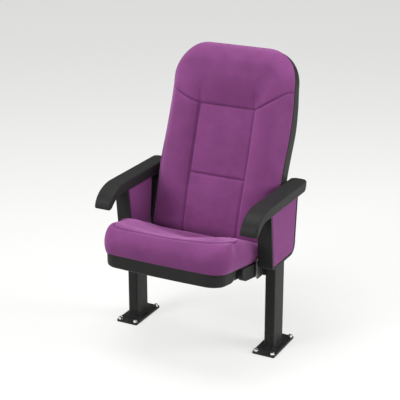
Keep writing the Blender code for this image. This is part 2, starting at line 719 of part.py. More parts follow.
def back_loop(rows, depth):
    """Loop of points round the back at a depth, given as a function of the height."""
    left = [Vector((-half * narrowed(z), depth(z), z)) for half, z in rows]
    right = [Vector((half * narrowed(z), depth(z), z)) for half, z in reversed(rows)]
    return left + right


def add_back_shell(parent):
    """Moulded outer shell of the back: side walls, a fillet and a rear wall, open at the front."""
    levels = edge_levels()
    turns = [math.radians(a) for a in (90.0, 60.0, 30.0)]
    rim = SEATED_GAP

    def loop(inset, level):
        return back_loop(back_rows(inset, levels), lambda z: parting_y(z) + level(shell_depth(z)))

    loops = [loop(SHELL_DRAFT + SHELL_FILLET * (1.0 - math.cos(a)),
                  lambda deep, a=a: deep - SHELL_FILLET * (1.0 - math.sin(a))) for a in turns]
    loops.append(loop(SHELL_DRAFT, lambda deep: deep - SHELL_FILLET))
    loops.append(loop(0.0, lambda deep: rim))
    loops.append(loop(SHELL_WALL, lambda deep: rim))
    loops.append(loop(SHELL_DRAFT + SHELL_WALL, lambda deep: deep - SHELL_FILLET))
    inner = SHELL_FILLET - SHELL_WALL
    loops += [loop(SHELL_DRAFT + SHELL_FILLET - inner * math.cos(a),
                   lambda deep, a=a: deep - SHELL_FILLET + inner * math.sin(a)) for a in reversed(turns)]
    shell = add_piece("back_shell", stack(loops, ruled=True), PLASTIC, parent)
    holes = bmesh.new()
    hole = BACK_BOLT_RADIUS + HOLE_GAP
    for sign in SIDES.values():
        for y, z in back_bolt_places():
            wall = sign * BACK_HALF
            turned_x([(wall - sign * 4.0 * SHELL_WALL, hole), (wall + sign * SHELL_WALL, hole)], (y, z),
                     BOLT_SIDES, holes)
    cut(shell, "back_shell_holes", holes)


def add_back_board(parent):
    """Plywood board inside the shell's rim, behind the cushion."""
    rows = back_rows(SHELL_DRAFT + SHELL_WALL + BOARD_EDGE_GAP, edge_levels())
    loops = [back_loop(rows, lambda z: parting_y(z) + SEATED_GAP),
             back_loop(rows, lambda z: parting_y(z) + SEATED_GAP + BOARD_THICK)]
    add_piece("back_board", stack(loops, ruled=True), PLYWOOD, parent)


def low_corner(inset):
    """Radius of the back's lower corners, drawn in by an inset."""
    return BACK_LOW_CORNER - min(inset, BACK_LOW_CORNER * 0.8)


def edge_distance(x, z):
    """Distance from a point to the outline of the back cushion."""
    half = BACK_HALF - CUSHION_INSET
    head = BACK_CORNER - CUSHION_INSET
    foot = low_corner(CUSHION_INSET)
    above = BACK_TOP - CUSHION_INSET - z
    below = z - BACK_BOTTOM - CUSHION_INSET
    for radius, height in ((head, above), (foot, below)):
        across = abs(x) - (half - radius)
        if across > 0.0 and height < radius:
            return radius - math.hypot(across, radius - height)
    return min(half - abs(x), above, below)


def seam_groove(x, z):
    """Depth of the sewn channels at a point of the back."""
    head = abs(z - head_seam(x))
    upright = abs(abs(x) - SEAM_X) if z < head_seam(x) else 1.0
    middle = abs(z - BACK_KNEE) if abs(x) < SEAM_X else 1.0
    return SEAM_DEPTH * math.exp(-(min(head, upright, middle) / SEAM_WIDTH) ** 2)


def back_surface(x, z):
    """Depth of the back cushion's front at a point."""
    half = BACK_HALF - CUSHION_INSET
    across = min(max((abs(x) - SEAM_X) / (half - SEAM_X), 0.0), 1.0)
    low = BOLSTER_FOOT + (1.0 - BOLSTER_FOOT) * smooth(z, BACK_BOTTOM + BACK_ROLL, BACK_KNEE)
    bulge = BOLSTER_RISE * low * math.sin(math.pi * min(across / BOLSTER_SPAN, 1.0)) ** BOLSTER_FULLNESS
    if abs(x) < SEAM_X:
        pillow = abs(math.sin(math.pi * (z - BACK_KNEE) / (SEAM_HEAD - BACK_KNEE)))
        bulge = PANEL_CROWN * math.cos(math.pi / 2 * x / SEAM_X) * pillow
    above = smooth(z - head_seam(x), 0.0, HEAD_EASE)
    bulge += (HEAD_RISE * (1.0 - HEAD_FALL * (x / half) ** 2) - bulge) * above
    front = panel_y(z) - bulge + seam_groove(x, z)
    back = parting_y(z)
    return back - (back - front) * roll(edge_distance(x, z), BACK_ROLL)


def back_columns():
    """Shares of the half width at which the back cushion's columns lie, from the middle out."""
    half = BACK_HALF - CUSHION_INSET
    rolled = [half - BACK_ROLL * (1.0 - math.cos(a)) for a in ROLL_TURNS]
    spread = between(SEAM_X, rolled[0], 2)
    places = [0.0, SEAM_X / 2, SEAM_X - SEAM_EDGE, SEAM_X, SEAM_X + SEAM_EDGE, *spread, *rolled]
    return [x / half for x in places]


def add_back_cushion(parent):
    """Upholstered back: middle panel between two bolsters, with a headrest above, flat behind."""
    rows = back_rows(CUSHION_INSET, cushion_levels())
    shares = back_columns()
    shares = [-s for s in reversed(shares[1:])] + shares
    bm = bmesh.new()
    front = []
    rear = []
    for number, (half, z) in enumerate(rows):
        line = []
        behind = []
        level = bent(half, z)
        for share in shares:
            x = share * half
            height = bent(x, z)
            line.append(bm.verts.new((x * narrowed(height), back_surface(x, height), height)))
            if number in (0, len(rows) - 1) or abs(share) == 1.0:
                behind.append(line[-1])
            else:
                behind.append(bm.verts.new((x * narrowed(level), parting_y(level), level)))
        front.append(line)
        rear.append(behind)
    for grid in (front, rear):
        for lower, upper in zip(grid, grid[1:]):
            for i in range(len(shares) - 1):
                bm.faces.new((lower[i], lower[i + 1], upper[i + 1], upper[i]))
    add_piece("back_cushion", bm, FABRIC, parent, math.radians(70.0))


# Seat, drawn in its own frame round the pivot axis


def front_turns(front_corner):
    """Angles of the rows round the seat's front corners, with rows on and beside the sewn line."""
    turns = [math.pi / 2 * i / HEAD_STEPS for i in range(HEAD_STEPS + 1)]
    places = (SEAT_SEAM - SEAM_EDGE, SEAT_SEAM, SEAT_SEAM + SEAM_EDGE)
    seam = [math.asin(1.0 - place / front_corner) for place in places]
    clear = [a for a in turns if all(abs(a - b) > ROW_APART for b in seam)]
    return sorted(clear + seam)


def seat_rows(half, front, rear, front_corner, rear_corner, inset, count):
    """Half widths and depths of the seat's outline in plan, rear to front, drawn in by an inset."""
    rows = []
    for i in range(CORNER_STEPS):
        a = math.pi / 2 * (1.0 - i / CORNER_STEPS)
        radius = rear_corner - inset
        rows.append((half - rear_corner + radius * math.cos(a), rear - rear_corner + radius * math.sin(a)))
    rows += [(half - inset, y) for y in between(rear - rear_corner, front_corner - front, count)]
    for a in front_turns(front_corner):
        radius = front_corner - inset
        rows.append((half - front_corner + radius * math.cos(a), front_corner - front - radius * math.sin(a)))
    return rows


def bowed(x, y):
    """Depth of a point of the seat, with the front edge bowed forward."""
    return y - SEAT_BOW * (1.0 - (x / SEAT_HALF) ** 2) * smooth(-y, PAN_FRONT - SEAT_BOW_LENGTH, PAN_FRONT)


def pan_loop(inset, z):
    """Loop of points round the seat pan."""
    rows = seat_rows(PAN_HALF, PAN_FRONT, PAN_REAR, PAN_CORNER, PAN_REAR_CORNER, inset, 4)
    half, front = rows[-1]
    points = [(-half, y) for half, y in rows]
    points += [(share * half, front) for share in FRONT_SHARES]
    points += [(half, y) for half, y in reversed(rows)]
    return [Vector((x, bowed(x, y), z)) for x, y in points]


def add_seat_pan(parent):
    """Moulded pan under the seat cushion, open at the top."""
    low = PAN_RISE - PAN_DEPTH
    knee = low + PAN_FILLET
    turns = [math.radians(a) for a in (0.0, 45.0, 90.0)]
    inner = PAN_FILLET - PAN_WALL
    inside = [pan_loop(PAN_DRAFT + PAN_FILLET - inner * math.cos(a), knee - inner * math.sin(a))
              for a in turns]
    loops = [pan_loop(PAN_DRAFT + PAN_FILLET * (1.0 - math.cos(a)), knee - PAN_FILLET * math.sin(a))
             for a in reversed(turns)]
    loops += [pan_loop(0.0, PAN_RISE), pan_loop(PAN_WALL, PAN_RISE)]
    loops += inside
    pan = add_piece("seat_pan", stack(loops), PLASTIC, parent)
    holes = bmesh.new()
    hole = HINGE_SCREW_RADIUS + HOLE_GAP
    for sign in SIDES.values():
        for ahead in HINGE_SCREWS_AHEAD:
            reach = [sign * (PAN_HALF - 3.0 * PAN_WALL), sign * (PAN_HALF + PAN_WALL)]
            turned_x([(x, hole) for x in reach], (-ahead, HINGE_SCREW_Z), BOLT_SIDES, holes)
    cut(pan, "seat_pan_holes", holes)


def add_seat_board(parent):
    """Plywood board in the mouth of the pan, flush with its rim."""
    inset = PAN_WALL + PAN_DRAFT * SEAT_BOARD_THICK / PAN_DEPTH + SEAT_BOARD_GAP
    loops = [pan_loop(inset, PAN_RISE - SEAT_BOARD_THICK), pan_loop(inset, PAN_RISE)]
    add_piece("seat_board", stack(loops), PLYWOOD, parent)


def seat_top(x, y):
    """Height of the seat cushion's top over the rim, before its edges are rolled over."""
    fall = smooth(y, -SEAT_CREST_AHEAD, SEAT_REAR)
    side = min(abs(x) / SEAT_DISH_HALF, 1.0) ** 2
    length = smooth(y, -SEAT_CREST_AHEAD, -SEAT_DISH_FRONT) * smooth(-y, -SEAT_REAR, SEAT_DISH_REAR)
    dish = SEAT_DISH * side * length
    return SEAT_CREST + (SEAT_LOW - SEAT_CREST) * fall + dish


def add_seat_cushion(parent):
    """Upholstered seat: high front, dished middle and drawn-in sides."""
    crease = SEAT_SEAM - SEAT_FRONT
    base = PAN_RISE + SEATED_GAP
    widest = base + SEAT_WAIST

    def rows(inset):
        return seat_rows(SEAT_HALF, SEAT_FRONT, SEAT_REAR, SEAT_CORNER, SEAT_REAR_CORNER, inset, 6)

    rolled = [1.0 - SEAT_SIDE_ROLL * (1.0 - math.cos(a)) / SEAT_HALF for a in ROLL_TURNS]
    shares = [0.0, *between(0.0, rolled[0], 2), *rolled]
    shares = [-s for s in reversed(shares[1:])] + shares
    bm = bmesh.new()
    grid = []
    for half, y in rows(0.0):
        line = []
        for share in shares:
            x = share * half
            edge = (roll(half - abs(x), SEAT_SIDE_ROLL) * roll(y + SEAT_FRONT, SEAT_FRONT_ROLL)
                    * roll(SEAT_REAR - y, SEAT_REAR_ROLL))
            groove = SEAM_DEPTH * math.exp(-((y - crease) / SEAM_WIDTH) ** 2)
            height = widest + (base + seat_top(x, y) - groove - widest) * edge
            line.append(bm.verts.new((x, bowed(x, y), height)))
        grid.append(line)
    for lower, upper in zip(grid, grid[1:]):
        for i in range(len(shares) - 1):
            bm.faces.new((lower[i], lower[i + 1], upper[i + 1], upper[i]))
    ring = [line[0] for line in grid] + grid[-1][1:-1] + [line[-1] for line in reversed(grid)]
    ring += grid[0][-2:0:-1]
    for inset, z in ((SEAT_DRAW_IN * 0.2, widest - SEAT_WAIST * 0.5),
                     (SEAT_DRAW_IN * 0.6, widest - SEAT_WAIST * 0.85), (SEAT_DRAW_IN, base)):
        edge = rows(inset)
        points = [(-half, y) for half, y in edge]
        points += [(share * edge[-1][0], edge[-1][1]) for share in shares[1:-1]]
        points += [(half, y) for half, y in reversed(edge)]
        points += [(share * edge[0][0], edge[0][1]) for share in reversed(shares[1:-1])]
        lower = [bm.verts.new((x, bowed(x, y), z)) for x, y in points]
        bridge(bm, ring, lower)
        ring = lower
    bm.faces.new(ring)
    add_piece("seat_cushion", bm, FABRIC, parent, math.radians(70.0))


def hinge_outline():
    """Side view of a hinge arm: a flat top, a round front end, a flat foot and a lobe round the pivot."""
    top = PAN_RISE - HINGE_TOP_GAP
    lobe = arc((0.0, 0.0), HINGE_LOBE, -math.pi / 2, math.asin(top / HINGE_LOBE), 2 * CORNER_STEPS)
    front = rounded([(-HINGE_FRONT, top, HINGE_TOP_RADIUS), (-HINGE_FRONT, -HINGE_LOBE, HINGE_FRONT_RADIUS),
                     (0.0, -HINGE_LOBE, 0.0)])
    return front[:-1] + lobe


def stop_slot():
    """Curved slot of a hinge arm round its stop pin, from the lowered to the raised seat."""
    width = STOP_RADIUS + HOLE_GAP
    low = STOP_ANGLE + SEAT_TILT
    high = low + SEAT_UP
    low_end = arc((0.0, 0.0), STOP_ARM, low, low, 1)[0]
    high_end = arc((0.0, 0.0), STOP_ARM, high, high, 1)[0]
    outer = arc((0.0, 0.0), STOP_ARM + width, low, high, HEAD_STEPS)
    inner = arc((0.0, 0.0), STOP_ARM - width, high, low, HEAD_STEPS)
    round_high = arc(high_end, width, high, high + math.pi, CORNER_STEPS)
    round_low = arc(low_end, width, low + math.pi, low + 2.0 * math.pi, CORNER_STEPS)
    return outer + round_high[1:-1] + inner + round_low[1:-1]


def add_hinge_arm(side, sign, parent):
    """Housing on the side of the pan that turns on the pivot pin, with its bush and screws."""
    inner = sign * HINGE_INNER
    outer = sign * HINGE_OUTER
    arm = add_piece(f"hinge_arm_{side}", prism_x(hinge_outline(), inner, outer), PLASTIC, parent)
    holes = bmesh.new()
    bore = BUSH_RADIUS + SEATED_GAP
    hole = HINGE_SCREW_RADIUS + HOLE_GAP
    sink = HINGE_SCREW_HEAD_RADIUS + HOLE_GAP
    turned_x([(inner - sign * HINGE_WIDTH, bore), (outer + sign * HINGE_WIDTH, bore)], (0.0, 0.0), bm=holes)
    head = outer - sign * (HINGE_SCREW_HEAD + SEATED_GAP)
    for number, ahead in enumerate(HINGE_SCREWS_AHEAD, 1):
        place = (-ahead, HINGE_SCREW_Z)
        stepped = [(inner - sign * PAN_WALL, hole), (head, hole), (head, sink),
                   (outer + sign * PAN_WALL, sink)]
        turned_x(stepped, place, BOLT_SIDES, holes)
        tip = sign * (PAN_HALF - PAN_WALL - HINGE_SCREW_TIP)
        seat = head + sign * SEATED_GAP
        profile = [(tip, HINGE_SCREW_RADIUS), (seat, HINGE_SCREW_RADIUS), (seat, HINGE_SCREW_HEAD_RADIUS),
                   (outer, HINGE_SCREW_HEAD_RADIUS)]
        add_piece(f"hinge_screw_{number}_{side}", turned_x(profile, place, BOLT_SIDES), ZINC, parent)
    deep = sign * STOP_SLOT_DEPTH
    stack([along_x(stop_slot(), outer - deep), along_x(stop_slot(), outer + deep)], holes)
    cut(arm, f"hinge_arm_{side}_holes", holes)
    rim = outer + sign * SEATED_GAP
    flange = rim + sign * BUSH_FLANGE_THICK
    bush = [(inner + sign * SEATED_GAP, BUSH_RADIUS), (rim, BUSH_RADIUS), (rim, BUSH_RADIUS + BUSH_FLANGE),
            (flange, BUSH_RADIUS + BUSH_FLANGE), (flange, PIN_RADIUS + RUNNING_GAP),
            (inner + sign * SEATED_GAP, PIN_RADIUS + RUNNING_GAP)]
    loops = [along_x(circle(radius, ROUND_SIDES), x) for x, radius in bush]
    add_piece(f"pivot_bush_{side}", hollow(loops), NYLON, parent)


def add_pivot(side, sign, parent):
    """Plate and block on the leg that carry the pivot pin and the stop pin."""
    face = sign * PIVOT_PLATE_FACE
    back = sign * PIVOT_PLATE_BACK
    leg = sign * (LEG_INNER - SEATED_GAP)
    radius = PIVOT_PLATE_CORNER
    outline = rounded([(-PIVOT_PLATE_FRONT, -PIVOT_PLATE_LOW, radius),
                       (PIVOT_PLATE_REAR, -PIVOT_PLATE_LOW, radius),
                       (PIVOT_PLATE_REAR, PIVOT_PLATE_HIGH, radius),
                       (-PIVOT_PLATE_FRONT, PIVOT_PLATE_HIGH, radius)])
    plate = add_piece(f"pivot_plate_{side}", prism_x(outline, face, back), ZINC, parent)
    front = PIVOT_AHEAD - LEG_DEPTH / 2
    rear = PIVOT_PLATE_REAR
    top = SIDE_BOTTOM - PIVOT_BLOCK_GAP - PIVOT_Z
    outline = [(front, -PIVOT_BLOCK_LOW), (rear, -PIVOT_BLOCK_LOW), (rear, top), (front, top)]
    block = add_piece(f"pivot_block_{side}", prism_x(outline, back + sign * SEATED_GAP, leg), PAINT, parent)
    place = (STOP_ARM * math.cos(STOP_ANGLE), STOP_ARM * math.sin(STOP_ANGLE))
    hole = PIN_RADIUS + SEATED_GAP
    reach = [face - sign * PIVOT_PLATE_THICK, leg + sign * PIVOT_PLATE_THICK]
    cut(block, f"pivot_block_{side}_hole", turned_x([(x, hole) for x in reach], (0.0, 0.0)))
    holes = turned_x([(x, hole) for x in reach], (0.0, 0.0))
    turned_x([(x, STOP_RADIUS + SEATED_GAP) for x in reach], place, BOLT_SIDES, holes)
    cut(plate, f"pivot_plate_{side}_holes", holes)
    pin = [(sign * (HINGE_INNER + PIN_END_GAP), PIN_RADIUS), (leg, PIN_RADIUS)]
    add_piece(f"pivot_pin_{side}", turned_x(pin, (0.0, 0.0)), ZINC, parent)
    stop = [(sign * (HINGE_OUTER - STOP_SLOT_DEPTH + STOP_END_GAP), STOP_RADIUS), (back, STOP_RADIUS)]
    add_piece(f"stop_pin_{side}", turned_x(stop, place, BOLT_SIDES), ZINC, parent)


def main():
    """Remove what the scene holds and build the chair."""
    for existing in list(bpy.data.objects):
        bpy.data.objects.remove(existing, do_unlink=True)
    pivot_y = LEG_Y - PIVOT_AHEAD
    seat = add_frame("seat_pivot", (0.0, pivot_y, PIVOT_Z), -SEAT_TILT)
    hinges = add_frame("hinge_line", (0.0, pivot_y, PIVOT_Z))
    backrest = add_frame("backrest", (0.0, LEG_Y, 0.0))
    for side, sign in SIDES.items():
        stand = add_frame(f"side_{side}", (sign * LEG_SPACING / 2, LEG_Y, 0.0))
        add_floor_plate(side, sign, stand)
        add_leg(side, stand)
        add_edge_band(side, stand)
        add_side_frame(side, sign, stand)
        add_panel(f"outer_panel_{side}", sign, 0.0, stand)
        add_panel(f"inner_panel_{side}", -sign, INNER_PANEL_SETBACK, stand)
        add_back_fixing(side, sign, stand)
        add_armrest(side, sign, stand)
        add_pivot(side, sign, hinges)
        add_hinge_arm(side, sign, seat)
    add_back_shell(backrest)
    add_back_board(backrest)
    add_back_cushion(backrest)
    add_seat_pan(seat)
    add_seat_board(seat)
    add_seat_cushion(seat)
    bpy.context.view_layer.update()


main()
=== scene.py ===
"""Looks of the auditorium chair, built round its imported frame.

Units are metres, +Z is up and the chair faces -Y. Left and right are as seen by someone who faces the chair.
The seat is drawn in its own frame, round the pivot axis, and then turned to its tilt.
"""

import json
import logging
import math
from dataclasses import dataclass, field
from enum import Enum
from functools import cache, reduce
from typing import Sequence

import bmesh
import bpy
import numpy as np
from mathutils import Matrix, Vector
from mathutils.bvhtree import BVHTree


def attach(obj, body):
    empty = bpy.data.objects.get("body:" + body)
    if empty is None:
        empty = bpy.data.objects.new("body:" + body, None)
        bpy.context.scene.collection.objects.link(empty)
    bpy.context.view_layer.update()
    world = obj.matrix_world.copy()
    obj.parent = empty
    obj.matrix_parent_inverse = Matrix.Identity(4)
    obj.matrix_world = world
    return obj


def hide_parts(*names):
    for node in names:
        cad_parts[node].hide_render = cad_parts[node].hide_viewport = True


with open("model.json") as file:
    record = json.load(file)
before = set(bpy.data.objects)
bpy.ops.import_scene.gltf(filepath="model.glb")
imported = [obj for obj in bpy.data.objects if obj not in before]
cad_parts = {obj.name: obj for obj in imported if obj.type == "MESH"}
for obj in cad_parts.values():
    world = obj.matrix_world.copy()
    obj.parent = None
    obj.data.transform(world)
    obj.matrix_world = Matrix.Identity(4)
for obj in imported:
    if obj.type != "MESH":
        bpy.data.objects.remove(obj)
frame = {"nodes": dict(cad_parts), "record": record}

LOG = logging.getLogger("chair")

Array = np.ndarray
Triple = tuple[float, float, float]
Colour = Triple
Face = tuple[int, ...]
Shades = tuple[tuple[float, float], ...]
Piece = bpy.types.Object
Socket = bpy.types.NodeSocket

# Middle of the legs, along X to either side and along Y
LEG_X = 0.280
LEG_Y = 0.021
# Height, rate and share of the phase of each wave that an uneven ripple is made of
RIPPLES = ((0.5, 1.0, 1.0), (0.3, 1.73, 2.1), (0.2, 0.61, -1.0))
# Turn of Blender's wave texture over one unit, in radians
WAVE_TURN = 20.0
# Side of the photograph, in pixels
PHOTO_SIDE = 400.0


class Side(Enum):
    """The two sides of the chair, with the way that each lies along X."""

    LEFT = -1
    RIGHT = 1

    @property
    def word(self) -> str:
        """Name that the side's pieces end in."""
        return self.name.lower()


class Slot(Enum):
    """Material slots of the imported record."""

    UPHOLSTERY = "upholstery"
    PLASTIC = "moulded_plastic"
    PAINT = "painted_steel"
    ZINC = "zinc_steel"
    PLYWOOD = "plywood"
    NYLON = "nylon"


class Caps(Enum):
    """How the two ends of a lofted body are closed."""

    STRIPS = "strips"
    FLAT = "flat"
    OPEN = "open"


class Body(Enum):
    """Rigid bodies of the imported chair."""

    FRAME = "frame"
    SEAT = "seat"


# Curves and spacings


def smooth(value: Array, low: float, high: float) -> Array:
    """Step from 0 at low to 1 at high, level at both ends."""
    t = np.clip((np.asarray(value, float) - low) / (high - low), 0.0, 1.0)
    return t * t * (3.0 - 2.0 * t)


def roll(distance: Array, radius: float) -> Array:
    """Height, from 0 to 1, at each distance from an edge that is rolled over a radius."""
    t = 1.0 - np.clip(np.asarray(distance, float) / radius, 0.0, 1.0)
    return np.sqrt(np.maximum(1.0 - t * t, 0.0))


def rounding(depth: Array, radius: float) -> Array:
    """How far a rounded corner lies inside its square one, at each depth into the corner."""
    into = np.clip(depth, 0.0, radius)
    return radius - np.sqrt(np.maximum(radius ** 2 - into ** 2, 0.0))


def ripple(place: Array, length: float, phase: float) -> Array:
    """Uneven wave between about -1 and 1, with its crests about a length apart."""
    turn = 2.0 * math.pi * np.asarray(place, float) / length
    return sum(height * np.sin(rate * turn + share * phase) for height, rate, share in RIPPLES)


def even_places(low: float, high: float, cell: float) -> Array:
    """Even places from low towards high, about a cell apart, without the last."""
    return np.linspace(low, high, max(int(round(abs(high - low) / cell)), 1) + 1)[:-1]


def rolled_places(edge: float, inner: float, steps: int) -> Array:
    """Places from inner to edge, closer together towards the edge, which is rolled."""
    turns = np.linspace(math.pi / 2, 0.0, steps + 1)
    return edge + (inner - edge) * (1.0 - np.cos(turns))


def mirrored(places: Array) -> Array:
    """Places on both sides of the middle, from those of one side, which start at 0."""
    return np.concatenate([-places[:0:-1], places])


# Finishes


class Nodes:
    """Builder for the nodes of one tree."""

    def __init__(self, tree: bpy.types.NodeTree) -> None:
        """Start from the nodes that the tree has."""
        self.tree = tree

    def node(self, kind: str, **settings: object) -> bpy.types.Node:
        """Add a node.

        Args:
            kind: Blender's name of the node's type.
            settings: Properties of the node and, for names it lacks, values of its input sockets.

        Returns:
            The new node.
        """
        made = self.tree.nodes.new(kind)
        for key, value in settings.items():
            if hasattr(made, key):
                setattr(made, key, value)
            else:
                made.inputs[key.replace("_", " ").title()].default_value = value
        return made

    def wire(self, source: Socket, target: Socket) -> None:
        """Link an output to an input."""
        self.tree.links.new(source, target)

    def number(self, operation: str, *terms: Socket | float) -> Socket:
        """Combine numbers with a Math node.

        Args:
            operation: Name of the operation.
            terms: Sockets or plain numbers.

        Returns:
            The result's socket.
        """
        made = self.node("ShaderNodeMath", operation=operation)
        for socket, term in zip(made.inputs, terms):
            if isinstance(term, (int, float)):
                socket.default_value = term
            else:
                self.wire(term, socket)
        return made.outputs[0]

    def add(self, *parts: Socket) -> Socket:
        """Sum of sockets."""
        return reduce(lambda total, part: self.number("ADD", total, part), parts)

    def weigh(self, *parts: tuple[Socket, float]) -> Socket:
        """Sum of sockets, each times its weight."""
        return self.add(*(self.number("MULTIPLY", socket, weight) for socket, weight in parts))


class Graph(Nodes):
    """Builder for the nodes of one material."""

    def __init__(self, name: str) -> None:
        """Start a material with a plain shader and its object's coordinates.

        Args:
            name: Name of the material.
        """
        self.material = bpy.data.materials.new(name)
        self.material.use_nodes = True
        super().__init__(self.material.node_tree)
        self.shader = self.tree.nodes["Principled BSDF"]
        self.place = self.node("ShaderNodeTexCoord")
        self.where = self.place.outputs["Object"]

    def noise(self, size: float, detail: float, where: Socket | None = None) -> Socket:
        """Cloudy values.

        Args:
            size: Usual size of a cloud in metres.
            detail: Number of finer layers.
            where: Coordinates in metres, the object's own if left out.

        Returns:
            Values between 0 and 1.
        """
        made = self.node("ShaderNodeTexNoise", scale=1.0 / size, detail=detail)
        self.wire(self.where if where is None else where, made.inputs["Vector"])
        return made.outputs["Fac"]

    def bands(self, axis: str, pitch: float) -> Socket:
        """Even waves along an axis.

        Args:
            axis: X, Y or Z.
            pitch: Distance between two crests in metres.

        Returns:
            Values between 0 and 1.
        """
        scale = 2.0 * math.pi / (WAVE_TURN * pitch)
        made = self.node("ShaderNodeTexWave", bands_direction=axis, scale=scale)
        self.wire(self.where, made.inputs["Vector"])
        return made.outputs["Fac"]

    def paint(self, factor: Socket, colour: Colour, shades: Shades) -> None:
        """Colour the shader along a factor.

        Args:
            factor: Socket between 0 and 1.
            colour: The main colour.
            shades: Places along the factor, each with its share of the main colour.
        """
        made = self.node("ShaderNodeValToRGB")
        elements = made.color_ramp.elements
        while len(elements) < len(shades):
            elements.new(0.5)
        for element, (place, share) in zip(elements, shades):
            element.position = place
            element.color = (*(min(c * share, 1.0) for c in colour), 1.0)
        self.wire(factor, made.inputs["Fac"])
        self.wire(made.outputs["Color"], self.shader.inputs["Base Color"])

    def roughen(self, factor: Socket, low: float, high: float) -> None:
        """Vary the shader's roughness along a factor.

        Args:
            factor: Socket between 0 and 1.
            low: Roughness at 0.
            high: Roughness at 1.
        """
        made = self.node("ShaderNodeMapRange", to_min=low, to_max=high)
        self.wire(factor, made.inputs["Value"])
        self.wire(made.outputs["Result"], self.shader.inputs["Roughness"])

    def relief(self, height: Socket, depth: float, strength: float) -> None:
        """Give the shader a bumped normal.

        Args:
            height: Socket of the relief's height, from 0 to 1.
            depth: Height of the relief in metres.
            strength: Strength of the bump.
        """
        made = self.node("ShaderNodeBump", strength=strength, distance=depth)
        self.wire(height, made.inputs["Height"])
        self.wire(made.outputs["Normal"], self.shader.inputs["Normal"])

    def constant(self, **values: object) -> None:
        """Set sockets of the shader; a name's underscores stand for spaces."""
        for key, value in values.items():
            self.shader.inputs[key.replace("_", " ")].default_value = value


@dataclass(frozen=True)
class Finish:
    """A finish: a name, a main colour and a roughness."""

    name: str
    colour: Colour
    roughness: float

    def material(self) -> bpy.types.Material:
        """Make the material.

        Returns:
            The new material.
        """
        graph = Graph(self.name)
        self.dress(graph)
        graph.material.diffuse_color = (*self.colour, 1.0)
        return graph.material

    def dress(self, graph: Graph) -> None:
        """Add the finish's nodes to a material."""
        raise NotImplementedError


@dataclass(frozen=True)
class WovenCloth(Finish):
    """Plain weave with a soft nap, with painted shade in its seam grooves, brushed lighter in patches."""

    lustre: Colour = (0.85, 0.36, 0.80)
    sheen: float = 0.75
    sheen_roughness: float = 0.38
    gloss: float = 0.22
    uneven: float = 0.06
    yarn: float = 0.0011
    slub: float = 0.0066
    slub_layers: float = 3.0
    nap: float = 0.045
    nap_layers: float = 4.0
    patch: float = 0.16
    patch_layers: float = 2.0
    relief: float = 0.000495
    bump: float = 0.55
    nap_share: float = 0.45
    patch_share: float = 0.55
    weave_share: float = 0.30
    slub_share: float = 0.25
    # Share of the painted shade of the seam grooves in the colour
    seam_shade_share: float = 0.38
    # Shares of the weave and of the slubs in the relief
    relief_shares: tuple[float, float] = (0.7, 0.3)
    middle: float = 0.20
    shades: Shades = ((0.0, 0.42), (0.32, 0.86), (0.52, 1.0), (0.85, 1.22))

    def weave(self, graph: Graph) -> Socket:
        """Crossing yarns, laid in the plane that each place faces.

        Args:
            graph: Builder of the material's nodes.

        Returns:
            Height of the weave between 0 and 1.
        """
        facing = graph.node("ShaderNodeSeparateXYZ")
        graph.wire(graph.place.outputs["Normal"], facing.inputs[0])
        wave = {axis: graph.bands(axis, self.yarn) for axis in "XYZ"}
        planes = []
        for axis, warp, weft in ("XYZ", "YXZ", "ZXY"):
            square = graph.number("MULTIPLY", facing.outputs[axis], facing.outputs[axis])
            crossing = graph.number("MULTIPLY", wave[warp], wave[weft])
            planes.append(graph.number("MULTIPLY", crossing, square))
        return graph.add(*planes)

    def dress(self, graph: Graph) -> None:
        """Add the weave, the nap and the painted shade in the seam grooves.

        Args:
            graph: Builder of the material's nodes.
        """
        weave = self.weave(graph)
        slub = graph.noise(self.slub, self.slub_layers)
        # Painted shade: the cover's sewn attribute holds the shade of its seam grooves, which darkens the
        # cloth there
        sewn = graph.node("ShaderNodeAttribute", attribute_name="sewn").outputs["Fac"]
        tone = graph.weigh((graph.noise(self.nap, self.nap_layers), self.nap_share),
                           (graph.noise(self.patch, self.patch_layers), self.patch_share),
                           (weave, self.weave_share), (slub, self.slub_share), (sewn, -self.seam_shade_share))
        graph.paint(graph.number("SUBTRACT", tone, self.middle), self.colour, self.shades)
        graph.roughen(slub, self.roughness - self.uneven, self.roughness + self.uneven)
        graph.constant(Sheen_Weight=self.sheen, Sheen_Roughness=self.sheen_roughness,
                       Specular_IOR_Level=self.gloss, Sheen_Tint=(*self.lustre, 1.0))
        graph.relief(graph.weigh(*zip((weave, slub), self.relief_shares)), self.relief, self.bump)


@dataclass(frozen=True)
class Moulding(Finish):
    """Grained plastic, a little polished by hands in patches."""

    gloss: float = 0.08
    uneven: float = 0.10
    grain: float = 0.0009
    speckle: float = 0.0027
    patch: float = 0.07
    layers: float = 3.0
    # Shares of the patches and the speckles in the colour, and of the grain and the speckles in the relief
    tone_shares: tuple[float, float] = (0.7, 0.3)
    relief_shares: tuple[float, float] = (0.6, 0.4)
    relief: float = 0.000108
    bump: float = 0.35
    shades: Shades = ((0.25, 0.82), (0.55, 1.0), (0.8, 1.25))

    def dress(self, graph: Graph) -> None:
        """Add the grain and the polished patches.

        Args:
            graph: Builder of the material's nodes.
        """
        cells = graph.node("ShaderNodeTexVoronoi", scale=1.0 / self.grain)
        graph.wire(graph.where, cells.inputs["Vector"])
        fine = graph.noise(self.speckle, self.layers)
        patch = graph.noise(self.patch, self.layers)
        graph.paint(graph.weigh(*zip((patch, fine), self.tone_shares)), self.colour, self.shades)
        graph.roughen(patch, self.roughness - self.uneven, self.roughness + self.uneven)
        graph.constant(Specular_IOR_Level=self.gloss)
        height = graph.weigh(*zip((cells.outputs["Distance"], fine), self.relief_shares))
        graph.relief(height, self.relief, self.bump)


